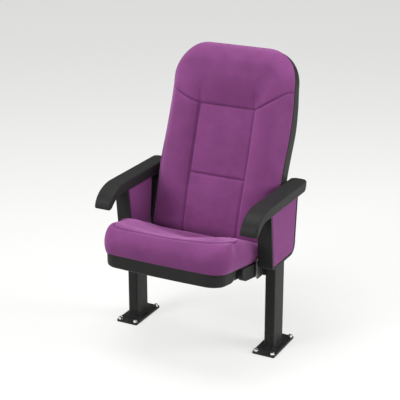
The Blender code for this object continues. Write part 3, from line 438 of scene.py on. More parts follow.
@dataclass(frozen=True)
class PaintedSteel(Finish):
    """Satin paint with a slight orange peel, and dust low down."""

    gloss: float = 0.15
    smoother: float = 0.08
    rougher: float = 0.14
    peel: float = 0.004
    peel_layers: float = 2.0
    scuff: float = 0.018
    scuff_layers: float = 6.0
    dust_height: float = 0.10
    dust_power: float = 2.0
    scuff_share: float = 0.6
    dust_share: float = 1.2
    relief: float = 0.0002
    bump: float = 0.25
    shades: Shades = ((0.2, 0.85), (0.4, 1.0), (0.9, 1.9))

    def dress(self, graph: Graph) -> None:
        """Add the peel, faint scuffs and the dust near the floor.

        Args:
            graph: Builder of the material's nodes.
        """
        scuff = graph.noise(self.scuff, self.scuff_layers)
        parts = graph.node("ShaderNodeSeparateXYZ")
        graph.wire(graph.where, parts.inputs[0])
        low = graph.node("ShaderNodeMapRange", from_min=self.dust_height, from_max=0.0)
        graph.wire(parts.outputs["Z"], low.inputs["Value"])
        patches = graph.number("POWER", scuff, self.dust_power)
        dust = graph.number("MULTIPLY", low.outputs["Result"], patches)
        tone = graph.weigh((scuff, self.scuff_share), (dust, self.dust_share))
        graph.paint(tone, self.colour, self.shades)
        graph.roughen(scuff, self.roughness - self.smoother, self.roughness + self.rougher)
        graph.constant(Specular_IOR_Level=self.gloss)
        graph.relief(graph.noise(self.peel, self.peel_layers), self.relief, self.bump)


@dataclass(frozen=True)
class ZincPlate(Finish):
    """Bright zinc with the mottle of its plating."""

    mottle: float = 0.006
    mottle_layers: float = 4.0
    scratch: float = 0.0009
    scratch_layers: float = 2.0
    smoother: float = 0.08
    rougher: float = 0.10
    relief: float = 0.00005
    bump: float = 0.3
    shades: Shades = ((0.3, 0.78), (0.6, 1.0), (0.8, 1.12))

    def dress(self, graph: Graph) -> None:
        """Add the mottle and fine scratches.

        Args:
            graph: Builder of the material's nodes.
        """
        mottle = graph.noise(self.mottle, self.mottle_layers)
        graph.paint(mottle, self.colour, self.shades)
        graph.roughen(mottle, self.roughness - self.smoother, self.roughness + self.rougher)
        graph.constant(Metallic=1.0)
        graph.relief(graph.noise(self.scratch, self.scratch_layers), self.relief, self.bump)


@dataclass(frozen=True)
class Clouded(Finish):
    """Even finish that one cloudy pattern shades: raw plywood, nylon or thread."""

    cloud: float
    detail: float
    shades: Shades
    relief: float
    bump: float
    stretch: Triple = (1.0, 1.0, 1.0)
    sheen: float = 0.0
    glow: float = 0.0

    def dress(self, graph: Graph) -> None:
        """Add the pattern, which a stretch below 1 draws out along that axis.

        Args:
            graph: Builder of the material's nodes.
        """
        stretch = graph.node("ShaderNodeMapping")
        stretch.inputs["Scale"].default_value = self.stretch
        graph.wire(graph.where, stretch.inputs["Vector"])
        cloud = graph.noise(self.cloud, self.detail, stretch.outputs["Vector"])
        graph.paint(cloud, self.colour, self.shades)
        graph.constant(Roughness=self.roughness, Sheen_Weight=self.sheen, Subsurface_Weight=self.glow)
        graph.relief(cloud, self.relief, self.bump)


PURPLE_CLOTH = WovenCloth("purple_cloth", (0.215, 0.053, 0.190), 0.86)
PURPLE_THREAD = Clouded("purple_thread", (0.15, 0.036, 0.13), 0.7, cloud=0.0006, detail=2.0,
                        shades=((0.3, 0.6), (0.7, 1.0)), relief=0.0002, bump=0.4, sheen=0.2)
BLACK_MOULDING = Moulding("black_moulding", (0.029, 0.029, 0.0285), 0.46)
BLACK_PAINT = PaintedSteel("black_paint", (0.021, 0.021, 0.0205), 0.42)
BRIGHT_ZINC = ZincPlate("zinc_plate", (0.62, 0.62, 0.60), 0.30)
BLACKENED = ZincPlate("blackened_zinc", (0.055, 0.055, 0.053), 0.42)
DULL_ZINC = ZincPlate("dull_zinc", (0.36, 0.36, 0.35), 0.38)
RAW_PLYWOOD = Clouded("raw_plywood", (0.45, 0.31, 0.17), 0.7, cloud=0.004, detail=5.0,
                      shades=((0.3, 0.7), (0.55, 1.0), (0.8, 1.2)), relief=0.0002, bump=0.3,
                      stretch=(1.0, 0.06, 0.06))
NATURAL_NYLON = Clouded("natural_nylon", (0.75, 0.73, 0.66), 0.5, cloud=0.008, detail=3.0,
                        shades=((0.3, 0.85), (0.7, 1.0)), relief=0.0001, bump=0.2, glow=0.1)

SLOT_FINISHES: dict[Slot, Finish] = {
    Slot.UPHOLSTERY: PURPLE_CLOTH,
    Slot.PLASTIC: BLACK_MOULDING,
    Slot.PAINT: BLACK_PAINT,
    Slot.ZINC: BRIGHT_ZINC,
    Slot.PLYWOOD: RAW_PLYWOOD,
    Slot.NYLON: NATURAL_NYLON,
}
NODE_FINISHES: dict[str, Finish] = {
    "hinge_screw": BLACKENED,
    "back_bolt": BLACKENED,
    "back_spacer": BLACKENED,
    "arm_screw": BLACKENED,
    "pivot_plate": DULL_ZINC,
}


@cache
def material_of(finish: Finish) -> bpy.types.Material:
    """Material of a finish, made on the first call."""
    return finish.material()


def dress(piece: Piece, finish: Finish) -> None:
    """Give a piece one finish all over."""
    piece.data.materials.clear()
    piece.data.materials.append(material_of(finish))


# Meshes


def make_mesh(name: str, points: Array, faces: Sequence[Sequence[int]]) -> bpy.types.Mesh:
    """Make a smooth-shaded mesh.

    Args:
        name: Name of the mesh.
        points: Vertices, one row each.
        faces: Vertex numbers of each face.

    Returns:
        The new mesh.
    """
    mesh = bpy.data.meshes.new(name)
    mesh.from_pydata([tuple(p) for p in points], [], [tuple(int(i) for i in f) for f in faces])
    mesh.update()
    mesh.shade_smooth()
    return mesh


def make_object(name: str, points: Array, faces: Sequence[Sequence[int]]) -> Piece:
    """Make an object with a smooth-shaded mesh, linked to the scene.

    Args:
        name: Name of the object and of its mesh.
        points: Vertices, one row each.
        faces: Vertex numbers of each face.

    Returns:
        The new object.
    """
    made = bpy.data.objects.new(name, make_mesh(name, points, faces))
    bpy.context.scene.collection.objects.link(made)
    return made


def give_mesh(piece: Piece, mesh: bpy.types.Mesh) -> None:
    """Put a mesh in place of the one that a piece has.

    Args:
        piece: The piece, whose old mesh is removed.
        mesh: Its new mesh, which takes the piece's name.
    """
    old = piece.data
    piece.data = mesh
    bpy.data.meshes.remove(old)
    mesh.name = piece.name


def vertices(piece: Piece) -> Array:
    """Vertices of an object's mesh.

    Args:
        piece: The object.

    Returns:
        Points, one row each.
    """
    flat = np.zeros(len(piece.data.vertices) * 3)
    piece.data.vertices.foreach_get("co", flat)
    return flat.reshape(-1, 3)


def set_vertices(piece: Piece, points: Array) -> None:
    """Move an object's vertices."""
    piece.data.vertices.foreach_set("co", np.ascontiguousarray(points, float).ravel())
    piece.data.update()


def normals(piece: Piece) -> Array:
    """Vertex normals of an object's mesh.

    Args:
        piece: The object.

    Returns:
        Directions, one row each.
    """
    flat = np.zeros(len(piece.data.vertices) * 3, np.float32)
    piece.data.vertex_normals.foreach_get("vector", flat)
    return flat.reshape(-1, 3).astype(float)


def remember(piece: Piece, name: str, values: Array) -> None:
    """Keep a number for each vertex under a name that materials read."""
    layer = piece.data.attributes.new(name, "FLOAT", "POINT")
    layer.data.foreach_set("value", np.asarray(values, np.float32))


def grid_faces(rows: int, columns: int) -> list[Face]:
    """Quads of a grid whose vertices are numbered row by row.

    Args:
        rows: Number of rows of vertices.
        columns: Number of vertices in a row.

    Returns:
        Vertex numbers of each quad.
    """
    made = []
    for row in range(rows - 1):
        for column in range(columns - 1):
            a = row * columns + column
            made.append((a, a + 1, a + columns + 1, a + columns))
    return made


def grid_rim(rows: int, columns: int) -> Array:
    """Vertex numbers round such a grid: up its first column, along the last row and back."""
    number = np.arange(rows * columns).reshape(rows, columns)
    return np.concatenate([number[:, 0], number[-1, 1:-1], number[::-1, -1], number[0, -2:0:-1]])


def band_faces(first: Array, second: Array) -> list[Face]:
    """Quads between two closed rings of as many vertices."""
    return list(zip(first, second, np.roll(second, -1), np.roll(first, -1)))


def tube_faces(rings: Array) -> list[Face]:
    """Quads of a tube through closed rings of vertices.

    Args:
        rings: Vertex numbers, one ring in each row.

    Returns:
        Vertex numbers of each quad.
    """
    faces: list[Face] = []
    for lower, upper in zip(rings, rings[1:]):
        faces += zip(lower, np.roll(lower, -1), np.roll(upper, -1), upper)
    return faces


def refine(piece: Piece) -> None:
    """Smooth a mesh by one level of subdivision, for good.

    Args:
        piece: The object to refine.
    """
    modifier = piece.modifiers.new("refine", "SUBSURF")
    modifier.levels = 1
    modifier.render_levels = 1
    modifier.boundary_smooth = "PRESERVE_CORNERS"
    bpy.context.view_layer.update()
    mesh = bpy.data.meshes.new_from_object(piece.evaluated_get(bpy.context.evaluated_depsgraph_get()))
    piece.modifiers.remove(modifier)
    give_mesh(piece, mesh)
    mesh.shade_smooth()


def offset_inward(outline: Array, inset: float) -> Array:
    """Move each point of an anticlockwise outline inward.

    Args:
        outline: Points, one row each.
        inset: Distance to move by.

    Returns:
        The moved points.
    """
    before = outline - np.roll(outline, 1, 0)
    before = before / np.linalg.norm(before, axis=1, keepdims=True)
    after = np.roll(before, -1, 0)
    turn = np.column_stack([-before[:, 1] - after[:, 1], before[:, 0] + after[:, 0]])
    return outline + inset * turn / (1.0 + np.sum(before * after, axis=1))[:, None]


def lofted(name: str, loops: Sequence[Array], caps: Caps) -> Piece:
    """Make a body through equal loops of points.

    Args:
        name: Name of the object.
        loops: Loops of points, which the caller orders so that the faces point out.
        caps: How the ends are closed; strips run from left points to right points.

    Returns:
        The new object.
    """
    count = len(loops[0])
    rings = np.arange(len(loops) * count).reshape(len(loops), count)
    faces = tube_faces(rings)
    if caps is Caps.STRIPS:
        for i in range(count // 2 - 1):
            strip = [i, count - 1 - i, count - 2 - i, i + 1]
            faces += [tuple(rings[0, strip]), tuple(rings[-1, strip[::-1]])]
    elif caps is Caps.FLAT:
        faces += [tuple(rings[0, ::-1]), tuple(rings[-1])]
    return make_object(name, np.vstack(loops), faces)


def fill_ends(piece: Piece) -> None:
    """Close the open ends of a body with flat faces.

    Args:
        piece: The open body.
    """
    work = bmesh.new()
    work.from_mesh(piece.data)
    edges = [edge for edge in work.edges if edge.is_boundary]
    ends = bmesh.ops.holes_fill(work, edges=edges, sides=0)["faces"]
    bmesh.ops.recalc_face_normals(work, faces=work.faces)
    for face in ends:
        face.smooth = True
    work.to_mesh(piece.data)
    work.free()


def settle(piece: Piece, body: Body, finish: Finish) -> None:
    """Dress a new piece and let it ride on a body.

    Args:
        piece: The new piece, in place.
        body: Body that it moves with.
        finish: Its finish.
    """
    dress(piece, finish)
    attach(piece, body.value)
    LOG.info("%s rides on %s, %d faces", piece.name, body.value, len(piece.data.polygons))


# Sewing


@dataclass(frozen=True)
class Stuffing:
    """Foam under a sewn cover: how hard it presses and how far the cover may move."""

    pressure: float = 4.0
    most: float = 0.006
    frames: int = 20
    evening: int = 14
    quality: int = 6
    mass: float = 0.25
    tension: float = 18.0
    shear: float = 8.0
    bending: float = 1.2

    def fill(self, piece: Piece, sewn: Array) -> None:
        """Let the cover swell between its seams, as cloth.

        Args:
            piece: The cover, which keeps its new shape.
            sewn: For each vertex, whether it is held.
        """
        before = vertices(piece)
        moved = self.evened(piece, self.swollen(piece, sewn) - before, sewn)
        furthest = float(np.linalg.norm(moved, axis=1).max())
        set_vertices(piece, before + moved * min(1.0, self.most / furthest))
        LOG.info("%s swelled by %.1f mm, kept to %.1f mm", piece.name, 1000.0 * furthest, 1000.0 * self.most)

    def swollen(self, piece: Piece, sewn: Array) -> Array:
        """Run the cloth and take it away again.

        Args:
            piece: The cover.
            sewn: For each vertex, whether it is held.

        Returns:
            The vertices at the last frame.
        """
        group = piece.vertex_groups.new(name="sewn")
        group.add([int(i) for i in np.flatnonzero(sewn)], 1.0, "REPLACE")
        cloth = piece.modifiers.new("cover", "CLOTH")
        settings = cloth.settings
        settings.quality = self.quality
        settings.mass = self.mass
        settings.tension_stiffness = self.tension
        settings.compression_stiffness = self.tension
        settings.shear_stiffness = self.shear
        settings.bending_stiffness = self.bending
        settings.vertex_group_mass = group.name
        settings.use_pressure = True
        settings.uniform_pressure_force = self.pressure
        settings.effector_weights.gravity = 0.0
        scene = bpy.context.scene
        for step in range(1, self.frames + 1):
            scene.frame_set(step)
        points = vertices(piece.evaluated_get(bpy.context.evaluated_depsgraph_get()))
        piece.modifiers.remove(cloth)
        piece.vertex_groups.remove(group)
        scene.frame_set(1)
        return points

    def evened(self, piece: Piece, moved: Array, sewn: Array) -> Array:
        """Take small creases out of the swelling.

        Args:
            piece: The cover.
            moved: How far each vertex moved.
            sewn: For each vertex, whether it is held.

        Returns:
            The evened movement.
        """
        ends = np.zeros(len(piece.data.edges) * 2, int)
        piece.data.edges.foreach_get("vertices", ends)
        ends = ends.reshape(-1, 2)
        ends = np.vstack([ends, ends[:, ::-1]])
        count = np.bincount(ends[:, 0], minlength=len(moved))[:, None]
        for _ in range(self.evening):
            total = np.column_stack([np.bincount(ends[:, 0], moved[ends[:, 1], axis], len(moved))
                                     for axis in range(3)])
            moved = np.where(sewn[:, None], 0.0, 0.5 * moved + 0.5 * total / count)
        return moved


@dataclass(frozen=True)
class Seam:
    """Seam drawn into a cover, with small gathers beside it."""

    depth: float
    width: float
    gather: float
    gather_reach: float
    gather_pitch: float
    gather_phase: float
    # Width of the painted shade along the groove, as a share of the groove's width
    shade: float = 0.55
    hold: float = 0.0035

    def relief(self, distance: Array, along: Array, facing: Array) -> Array:
        """How far the cover stands out.

        Args:
            distance: Distance of each place from the seam.
            along: Its place along the seam.
            facing: Share of the seam that reaches it.

        Returns:
            Heights, below 0 in the seam itself.
        """
        groove = np.exp(-(distance / self.width) ** 2) * facing
        near = np.exp(-distance / self.gather_reach) * facing
        wave = ripple(along, self.gather_pitch, self.gather_phase)
        return self.gather * wave * near * (1.0 - groove) - self.depth * groove

    def shadow(self, distance: Array, facing: Array) -> Array:
        """Share of the painted shade along the seam's groove at each place."""
        return np.exp(-(distance / (self.shade * self.width)) ** 2) * facing


@dataclass(frozen=True)
class Stitching:
    """Row of stitches that lie in a seam."""

    pitch: float = 0.0055
    length: float = 0.0040
    radius: float = 0.00045
    sides: int = 6
    # Place along a stitch, height above the cloth and thickness, the last two in radii
    profile: tuple[Triple, ...] = ((0.0, -1.0, 0.4), (0.15, 0.1, 0.9), (0.5, 0.7, 1.0), (0.85, 0.1, 0.9),
                                   (1.0, -1.0, 0.4))

    def sew(self, name: str, lines: Sequence[Array], cover: Piece) -> Piece:
        """Lay stitches along lines on a cover.

        Args:
            name: Name of the new piece.
            lines: Points near the cover, along each seam.
            cover: The sewn piece.

        Returns:
            One object that holds all the stitches.
        """
        tree = BVHTree.FromPolygons([v.co for v in cover.data.vertices],
                                    [p.vertices for p in cover.data.polygons])
        points: list[Vector] = []
        faces: list[Face] = []
        for line in lines:
            for start, end in self.places(line):
                self.stitch(tree.find_nearest(Vector(start)), tree.find_nearest(Vector(end)), points, faces)
        return make_object(name, np.array([tuple(p) for p in points]), faces)

    def places(self, line: Array) -> list[tuple[Array, Array]]:
        """Split a line into stitches.

        Args:
            line: Points along a seam.

        Returns:
            The two ends of each stitch.
        """
        steps = np.linalg.norm(np.diff(line, axis=0), axis=1)
        along = np.concatenate([[0.0], np.cumsum(steps)])
        starts = np.arange(self.pitch / 2, along[-1] - self.length, self.pitch)

        def at(place: float) -> Array:
            """Point of the line at a distance along it."""
            return np.array([np.interp(place, along, line[:, axis]) for axis in range(3)])

        return [(at(start), at(start + self.length)) for start in starts]

    def stitch(self, start: tuple, end: tuple, points: list[Vector], faces: list[Face]) -> None:
        """Add one stitch: a short thread whose ends dip into the cloth.

        Args:
            start: Nearest place on the cover to the stitch's start, with its normal.
            end: The same for its end.
            points: Vertices so far, added to.
            faces: Faces so far, added to.
        """
        up = (start[1] + end[1]).normalized()
        run = (end[0] - start[0]).normalized()
        across = run.cross(up).normalized()
        first = len(points)
        for share, lift, width in self.profile:
            centre = start[0].lerp(end[0], share) + up * (lift * self.radius)
            for i in range(self.sides):
                a = 2.0 * math.pi * i / self.sides
                points.append(centre + (across * math.cos(a) + up * math.sin(a)) * (self.radius * width))
        rings = first + np.arange(len(self.profile) * self.sides).reshape(-1, self.sides)[:, ::-1]
        faces += [*tube_faces(rings), tuple(rings[0, ::-1]), tuple(rings[-1])]


# Sub-assemblies


@dataclass
class Backrest:
    """Upholstered back: a middle panel between two bolsters, with a headrest above, sewn together."""

    # Outline and its taper
    leg_y: float = LEG_Y
    half: float = 0.2435
    low: float = 0.355
    top: float = 1.0130
    corner: float = 0.1205
    low_corner: float = 0.022
    taper: float = 0.030
    full: float = 0.70
    taper_end: float = 1.016
    foot_taper: float = 0.016
    foot_low: float = 0.42
    foot_high: float = 0.62
    # Rake of the middle panel
    knee: float = 0.5685
    setback: float = 0.102
    rake: float = math.radians(18.0)
    bend_low: float = 0.02
    bend_high: float = 0.23
    bend_share: float = 0.4
    # Seams; the headrest's one rises to the left and to the right
    seam: Seam = Seam(depth=0.0044, width=0.0042, gather=0.0007, gather_reach=0.022, gather_pitch=0.030,
                      gather_phase=0.7)
    seam_head: float = 0.810
    seam_middle: float = 0.569
    seam_x: float = 0.110
    seam_rises: tuple[float, float] = (math.tan(math.radians(23.5)), math.tan(math.radians(32.0)))
    seam_level: float = 0.222
    stitch_foot: float = 0.045
    stitch_side: float = 0.02
    upright_points: int = 60
    slope_points: int = 30
    level_points: int = 40
    # Swell at the small of the back
    lumbar: float = 0.007
    lumbar_z: float = 0.455
    lumbar_reach: float = 0.11
    # Line where the cover meets the shell
    parting_low: float = 0.014
    parting_extra: float = 0.021
    parting_head: float = 0.010
    parting_ease: float = 0.100
    wrap: float = 0.022
    wrap_low: float = 0.89
    wrap_high: float = 0.99
    # Bolsters, headrest and middle panel
    bolster_rise: float = 0.028
    bolster_foot: float = 0.10
    bolster_span: float = 0.92
    bolster_fullness: float = 0.8
    head_rise: float = 0.026
    head_ease: float = 0.120
    head_fall: float = 0.6
    crown: float = 0.007
    # Rolled edge, hems and grid
    edge_roll: float = 0.046
    edge_steps: int = 9
    head_steps: int = 10
    facing_from: float = 0.001
    facing_full: float = 0.006
    hems: tuple[float, ...] = (0.004, 0.010, 0.018)
    cell: float = 0.0055
    stuffing: Stuffing = Stuffing()

    @property
    def arc(self) -> float:
        """Height at which the upper corners start."""
        return self.top - self.corner

    def panel_y(self, z: Array) -> Array:
        """Depth of the middle panel at each height; its rake eases off at the head.

        Args:
            z: Heights.

        Returns:
            Depths behind the legs' middle.
        """
        slope = math.tan(self.rake)
        start = self.seam_head + self.bend_low
        length = self.bend_high - self.bend_low
        straight = self.setback + (np.minimum(z, start) - self.knee) * slope
        above = np.clip(z - start, 0.0, length)
        return straight + slope * above * (1.0 - self.bend_share * above / (2.0 * length))

    def parting_y(self, z: Array) -> Array:
        """Depth of the line where the cushion meets the shell.

        Args:
            z: Heights.

        Returns:
            Depths behind the legs' middle.
        """
        shoulder = self.parting_extra * smooth(z, self.knee, self.knee + 2.0 * self.parting_ease)
        head = self.parting_head * smooth(z, self.seam_head, self.seam_head + self.parting_ease)
        return self.panel_y(z) + self.parting_low + shoulder - head + self.wrapped(z)

    def wrapped(self, z: Array) -> Array:
        """How far the cover wraps back over the shell at each height."""
        return self.wrap * smooth(z, self.wrap_low, self.wrap_high)

    def half_at(self, z: Array) -> Array:
        """Half width of the outline at each height, before the taper."""
        foot = rounding(self.low + self.low_corner - z, self.low_corner)
        return self.half - rounding(z - self.arc, self.corner) - foot

    def narrowed(self, z: Array) -> Array:
        """Share of the width that is left at each height."""
        return 1.0 - self.taper * smooth(z, self.full, self.taper_end)

    def gathered(self, z: Array) -> Array:
        """Share of the cover's width that is left at each height, drawn in at its foot."""
        return self.narrowed(z) - self.foot_taper * (1.0 - smooth(z, self.foot_low, self.foot_high))

    def head_seam(self, x: Array) -> Array:
        """Height of the seam under the headrest: level in the middle, rising to the sides."""
        rise = np.where(x < 0.0, *self.seam_rises)
        return self.seam_head + np.clip(np.abs(x) - self.seam_x, 0.0, self.seam_level - self.seam_x) * rise

    def bent(self, x: Array, z: Array) -> Array:
        """Height of the grid's rows at each point; rows near the headrest follow its seam."""
        near = 1.0 - np.minimum(np.abs(z - self.seam_head) / (self.arc - self.seam_head), 1.0)
        return z + near * (self.head_seam(x) - self.seam_head)

    def edge_distance(self, x: Array, z: Array) -> Array:
        """Distance of each point from the cushion's outline.

        Args:
            x: Places across the back, before its taper.
            z: Heights.

        Returns:
            Distances inside the outline.
        """
        above = self.top - z
        below = z - self.low
        distance = np.minimum(np.minimum(self.half - np.abs(x), above), below)
        for radius, height in ((self.corner, above), (self.low_corner, below)):
            across = np.abs(x) - (self.half - radius)
            inside = (across > 0.0) & (height < radius)
            distance = np.where(inside, radius - np.hypot(across, radius - height), distance)
        return distance

    def seam_distance(self, x: Array, z: Array) -> tuple[Array, Array]:
        """Distance of each point from the nearest seam, and its place along that seam.

        Args:
            x: Places across the back, before its taper.
            z: Heights.

        Returns:
            The distances and the places.
        """
        far = np.full(np.shape(x), 1.0)
        below = z < self.head_seam(x)
        inside = np.abs(x) < self.seam_x
        sloping = ~inside & (np.abs(x) < self.seam_level)
        slant = np.where(sloping, np.cos(np.arctan(np.where(x < 0.0, *self.seam_rises))), 1.0)
        head = np.abs(z - self.head_seam(x)) * slant
        upright = np.where(below, np.abs(np.abs(x) - self.seam_x), far)
        middle = np.where(inside, np.abs(z - self.seam_middle), far)
        nearest = np.minimum(np.minimum(head, upright), middle)
        along = np.where(nearest == upright, z, x)
        return nearest, along

    def front_y(self, x: Array, z: Array) -> Array:
        """Depth of the cushion's front, before it is sewn.

        Args:
            x: Places across the back, before its taper.
            z: Heights.

        Returns:
            Depths behind the legs' middle.
        """
        across = np.clip((np.abs(x) - self.seam_x) / (self.half - self.seam_x), 0.0, 1.0)
        foot = smooth(z, self.low + self.edge_roll, self.knee)
        foot = self.bolster_foot + (1.0 - self.bolster_foot) * foot
        wave = np.sin(math.pi * np.minimum(across / self.bolster_span, 1.0))
        bulge = self.bolster_rise * foot * np.maximum(wave, 0.0) ** self.bolster_fullness
        pillow = np.abs(np.sin(math.pi * (z - self.seam_middle) / (self.seam_head - self.seam_middle)))
        middle = self.crown * np.cos(math.pi / 2 * np.clip(x / self.seam_x, -1.0, 1.0)) * pillow
        bulge = np.where(np.abs(x) < self.seam_x, middle, bulge)
        above = smooth(z - self.head_seam(x), 0.0, self.head_ease)
        head = self.head_rise * (1.0 - self.head_fall * (x / self.half) ** 2)
        bulge = bulge + (head - bulge) * above
        lumbar = self.lumbar * np.exp(-((z - self.lumbar_z) / self.lumbar_reach) ** 2)
        front = self.panel_y(z) - bulge - lumbar * (1.0 - smooth(np.abs(x), self.seam_x, self.half))
        back = self.parting_y(z)
        return back - (back - front) * roll(self.edge_distance(x, z), self.edge_roll)

    def rows(self) -> Array:
        """Heights of the grid's rows, with one along each level seam.

        Returns:
            Heights, bottom to top.
        """
        foot = rolled_places(self.low, self.low + self.edge_roll, self.edge_steps)[::-1]
        head = rolled_places(self.top, self.top - self.edge_roll, self.head_steps)
        stops = [foot[-1], self.seam_middle, self.seam_head, self.arc, head[0]]
        between = [even_places(low, high, self.cell) for low, high in zip(stops, stops[1:])]
        return np.concatenate([foot[:-1], *between, head])

    def columns(self) -> Array:
        """Places of the grid's columns, as shares of the half width.

        Returns:
            Shares from -1 to 1.
        """
        side = self.half - self.edge_roll
        places = np.concatenate([even_places(0.0, self.seam_x, self.cell),
                                 even_places(self.seam_x, side, self.cell),
                                 rolled_places(self.half, side, self.edge_steps)])
        return mirrored(places / self.half)

    def build(self) -> None:
        """Make the cover and its stitches, and set them in place of the plain cushion."""
        rows, shares = self.rows(), self.columns()
        flat_z = np.repeat(rows[:, None], len(shares), 1)
        x = self.half_at(flat_z) * shares[None, :]
        z = self.bent(x, flat_z)
        x, z = x.ravel(), z.ravel()
        points = np.column_stack([x * self.gathered(z), self.front_y(x, z) + self.leg_y, z])
        cover = make_object("back_upholstery", points, grid_faces(len(rows), len(shares)))
        hold = self.seam.hold
        self.stuffing.fill(cover, (self.seam_distance(x, z)[0] < hold) | (self.edge_distance(x, z) < hold))
        self.close(cover, len(rows), len(shares))
        refine(cover)
        self.sew(cover)
        settle(cover, Body.FRAME, PURPLE_CLOTH)
        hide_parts("back_cushion")
        threads = Stitching().sew("back_stitching", self.seam_lines(), cover)
        settle(threads, Body.FRAME, PURPLE_THREAD)

    def close(self, cover: Piece, rows: int, columns: int) -> None:
        """Close the cover behind, along the parting line, with hems round its edge.

        Args:
            cover: The open front of the cushion.
            rows: Rows of its grid.
            columns: Columns of its grid.
        """
        points = vertices(cover)
        faces = [tuple(p.vertices) for p in cover.data.polygons]
        ring = grid_rim(rows, columns)
        edge = points[ring]
        middle = np.array([0.0, 0.0, (self.low + self.top) / 2])
        inward = (middle - edge) * np.array([1.0, 0.0, 1.0])
        inward = inward / np.linalg.norm(inward, axis=1, keepdims=True)
        for hem in self.hems:
            inner = edge + hem * inward
            inner[:, 1] = self.parting_y(inner[:, 2]) + self.leg_y
            fresh = len(points) + np.arange(len(ring))
            points = np.vstack([points, inner])
            faces += band_faces(ring, fresh)
            ring = fresh
        left, top, right, foot = np.split(ring, np.cumsum([rows, columns - 2, rows]))
        right = right[::-1]
        for row in range(rows - 1):
            lower = [right[row], *(foot if row == 0 else []), left[row]]
            upper = [left[row + 1], *(top if row == rows - 2 else []), right[row + 1]]
            faces.append((*lower, *upper))
        give_mesh(cover, make_mesh(cover.name, points, faces))

    def sew(self, cover: Piece) -> None:
        """Draw the seams in, with the small gathers beside them, and keep the painted shade of their
        grooves.

        Args:
            cover: The stuffed cover.
        """
        points = vertices(cover)
        z = points[:, 2]
        distance, along = self.seam_distance(points[:, 0] / self.gathered(z), z)
        ahead = self.parting_y(z) + self.leg_y - points[:, 1]
        facing = smooth(ahead, self.facing_from, self.facing_full)
        points[:, 1] -= self.seam.relief(distance, along, facing)
        set_vertices(cover, points)
        # Painted shade: keep the darkening of the seams' grooves for the cloth's colour
        remember(cover, "sewn", self.seam.shadow(distance, facing))

    def seam_lines(self) -> list[Array]:
        """Points along each seam, at the bottom of its groove.

        Returns:
            One array of points for each line.
        """
        lines = []
        for sign in (-1.0, 1.0):
            z = np.linspace(self.low + self.stitch_foot, self.seam_head, self.upright_points)
            lines.append((np.full_like(z, sign * self.seam_x), z))
            x = np.linspace(self.seam_x, self.half - self.stitch_side, self.slope_points)
            lines.append((sign * x, self.head_seam(sign * x)))
        x = np.linspace(-self.seam_x, self.seam_x, self.level_points)
        lines.append((x, np.full_like(x, self.seam_head)))
        lines.append((x, np.full_like(x, self.seam_middle)))
        depth = self.seam.depth + self.leg_y
        return [np.column_stack([x * self.gathered(z), self.front_y(x, z) + depth, z]) for x, z in lines]


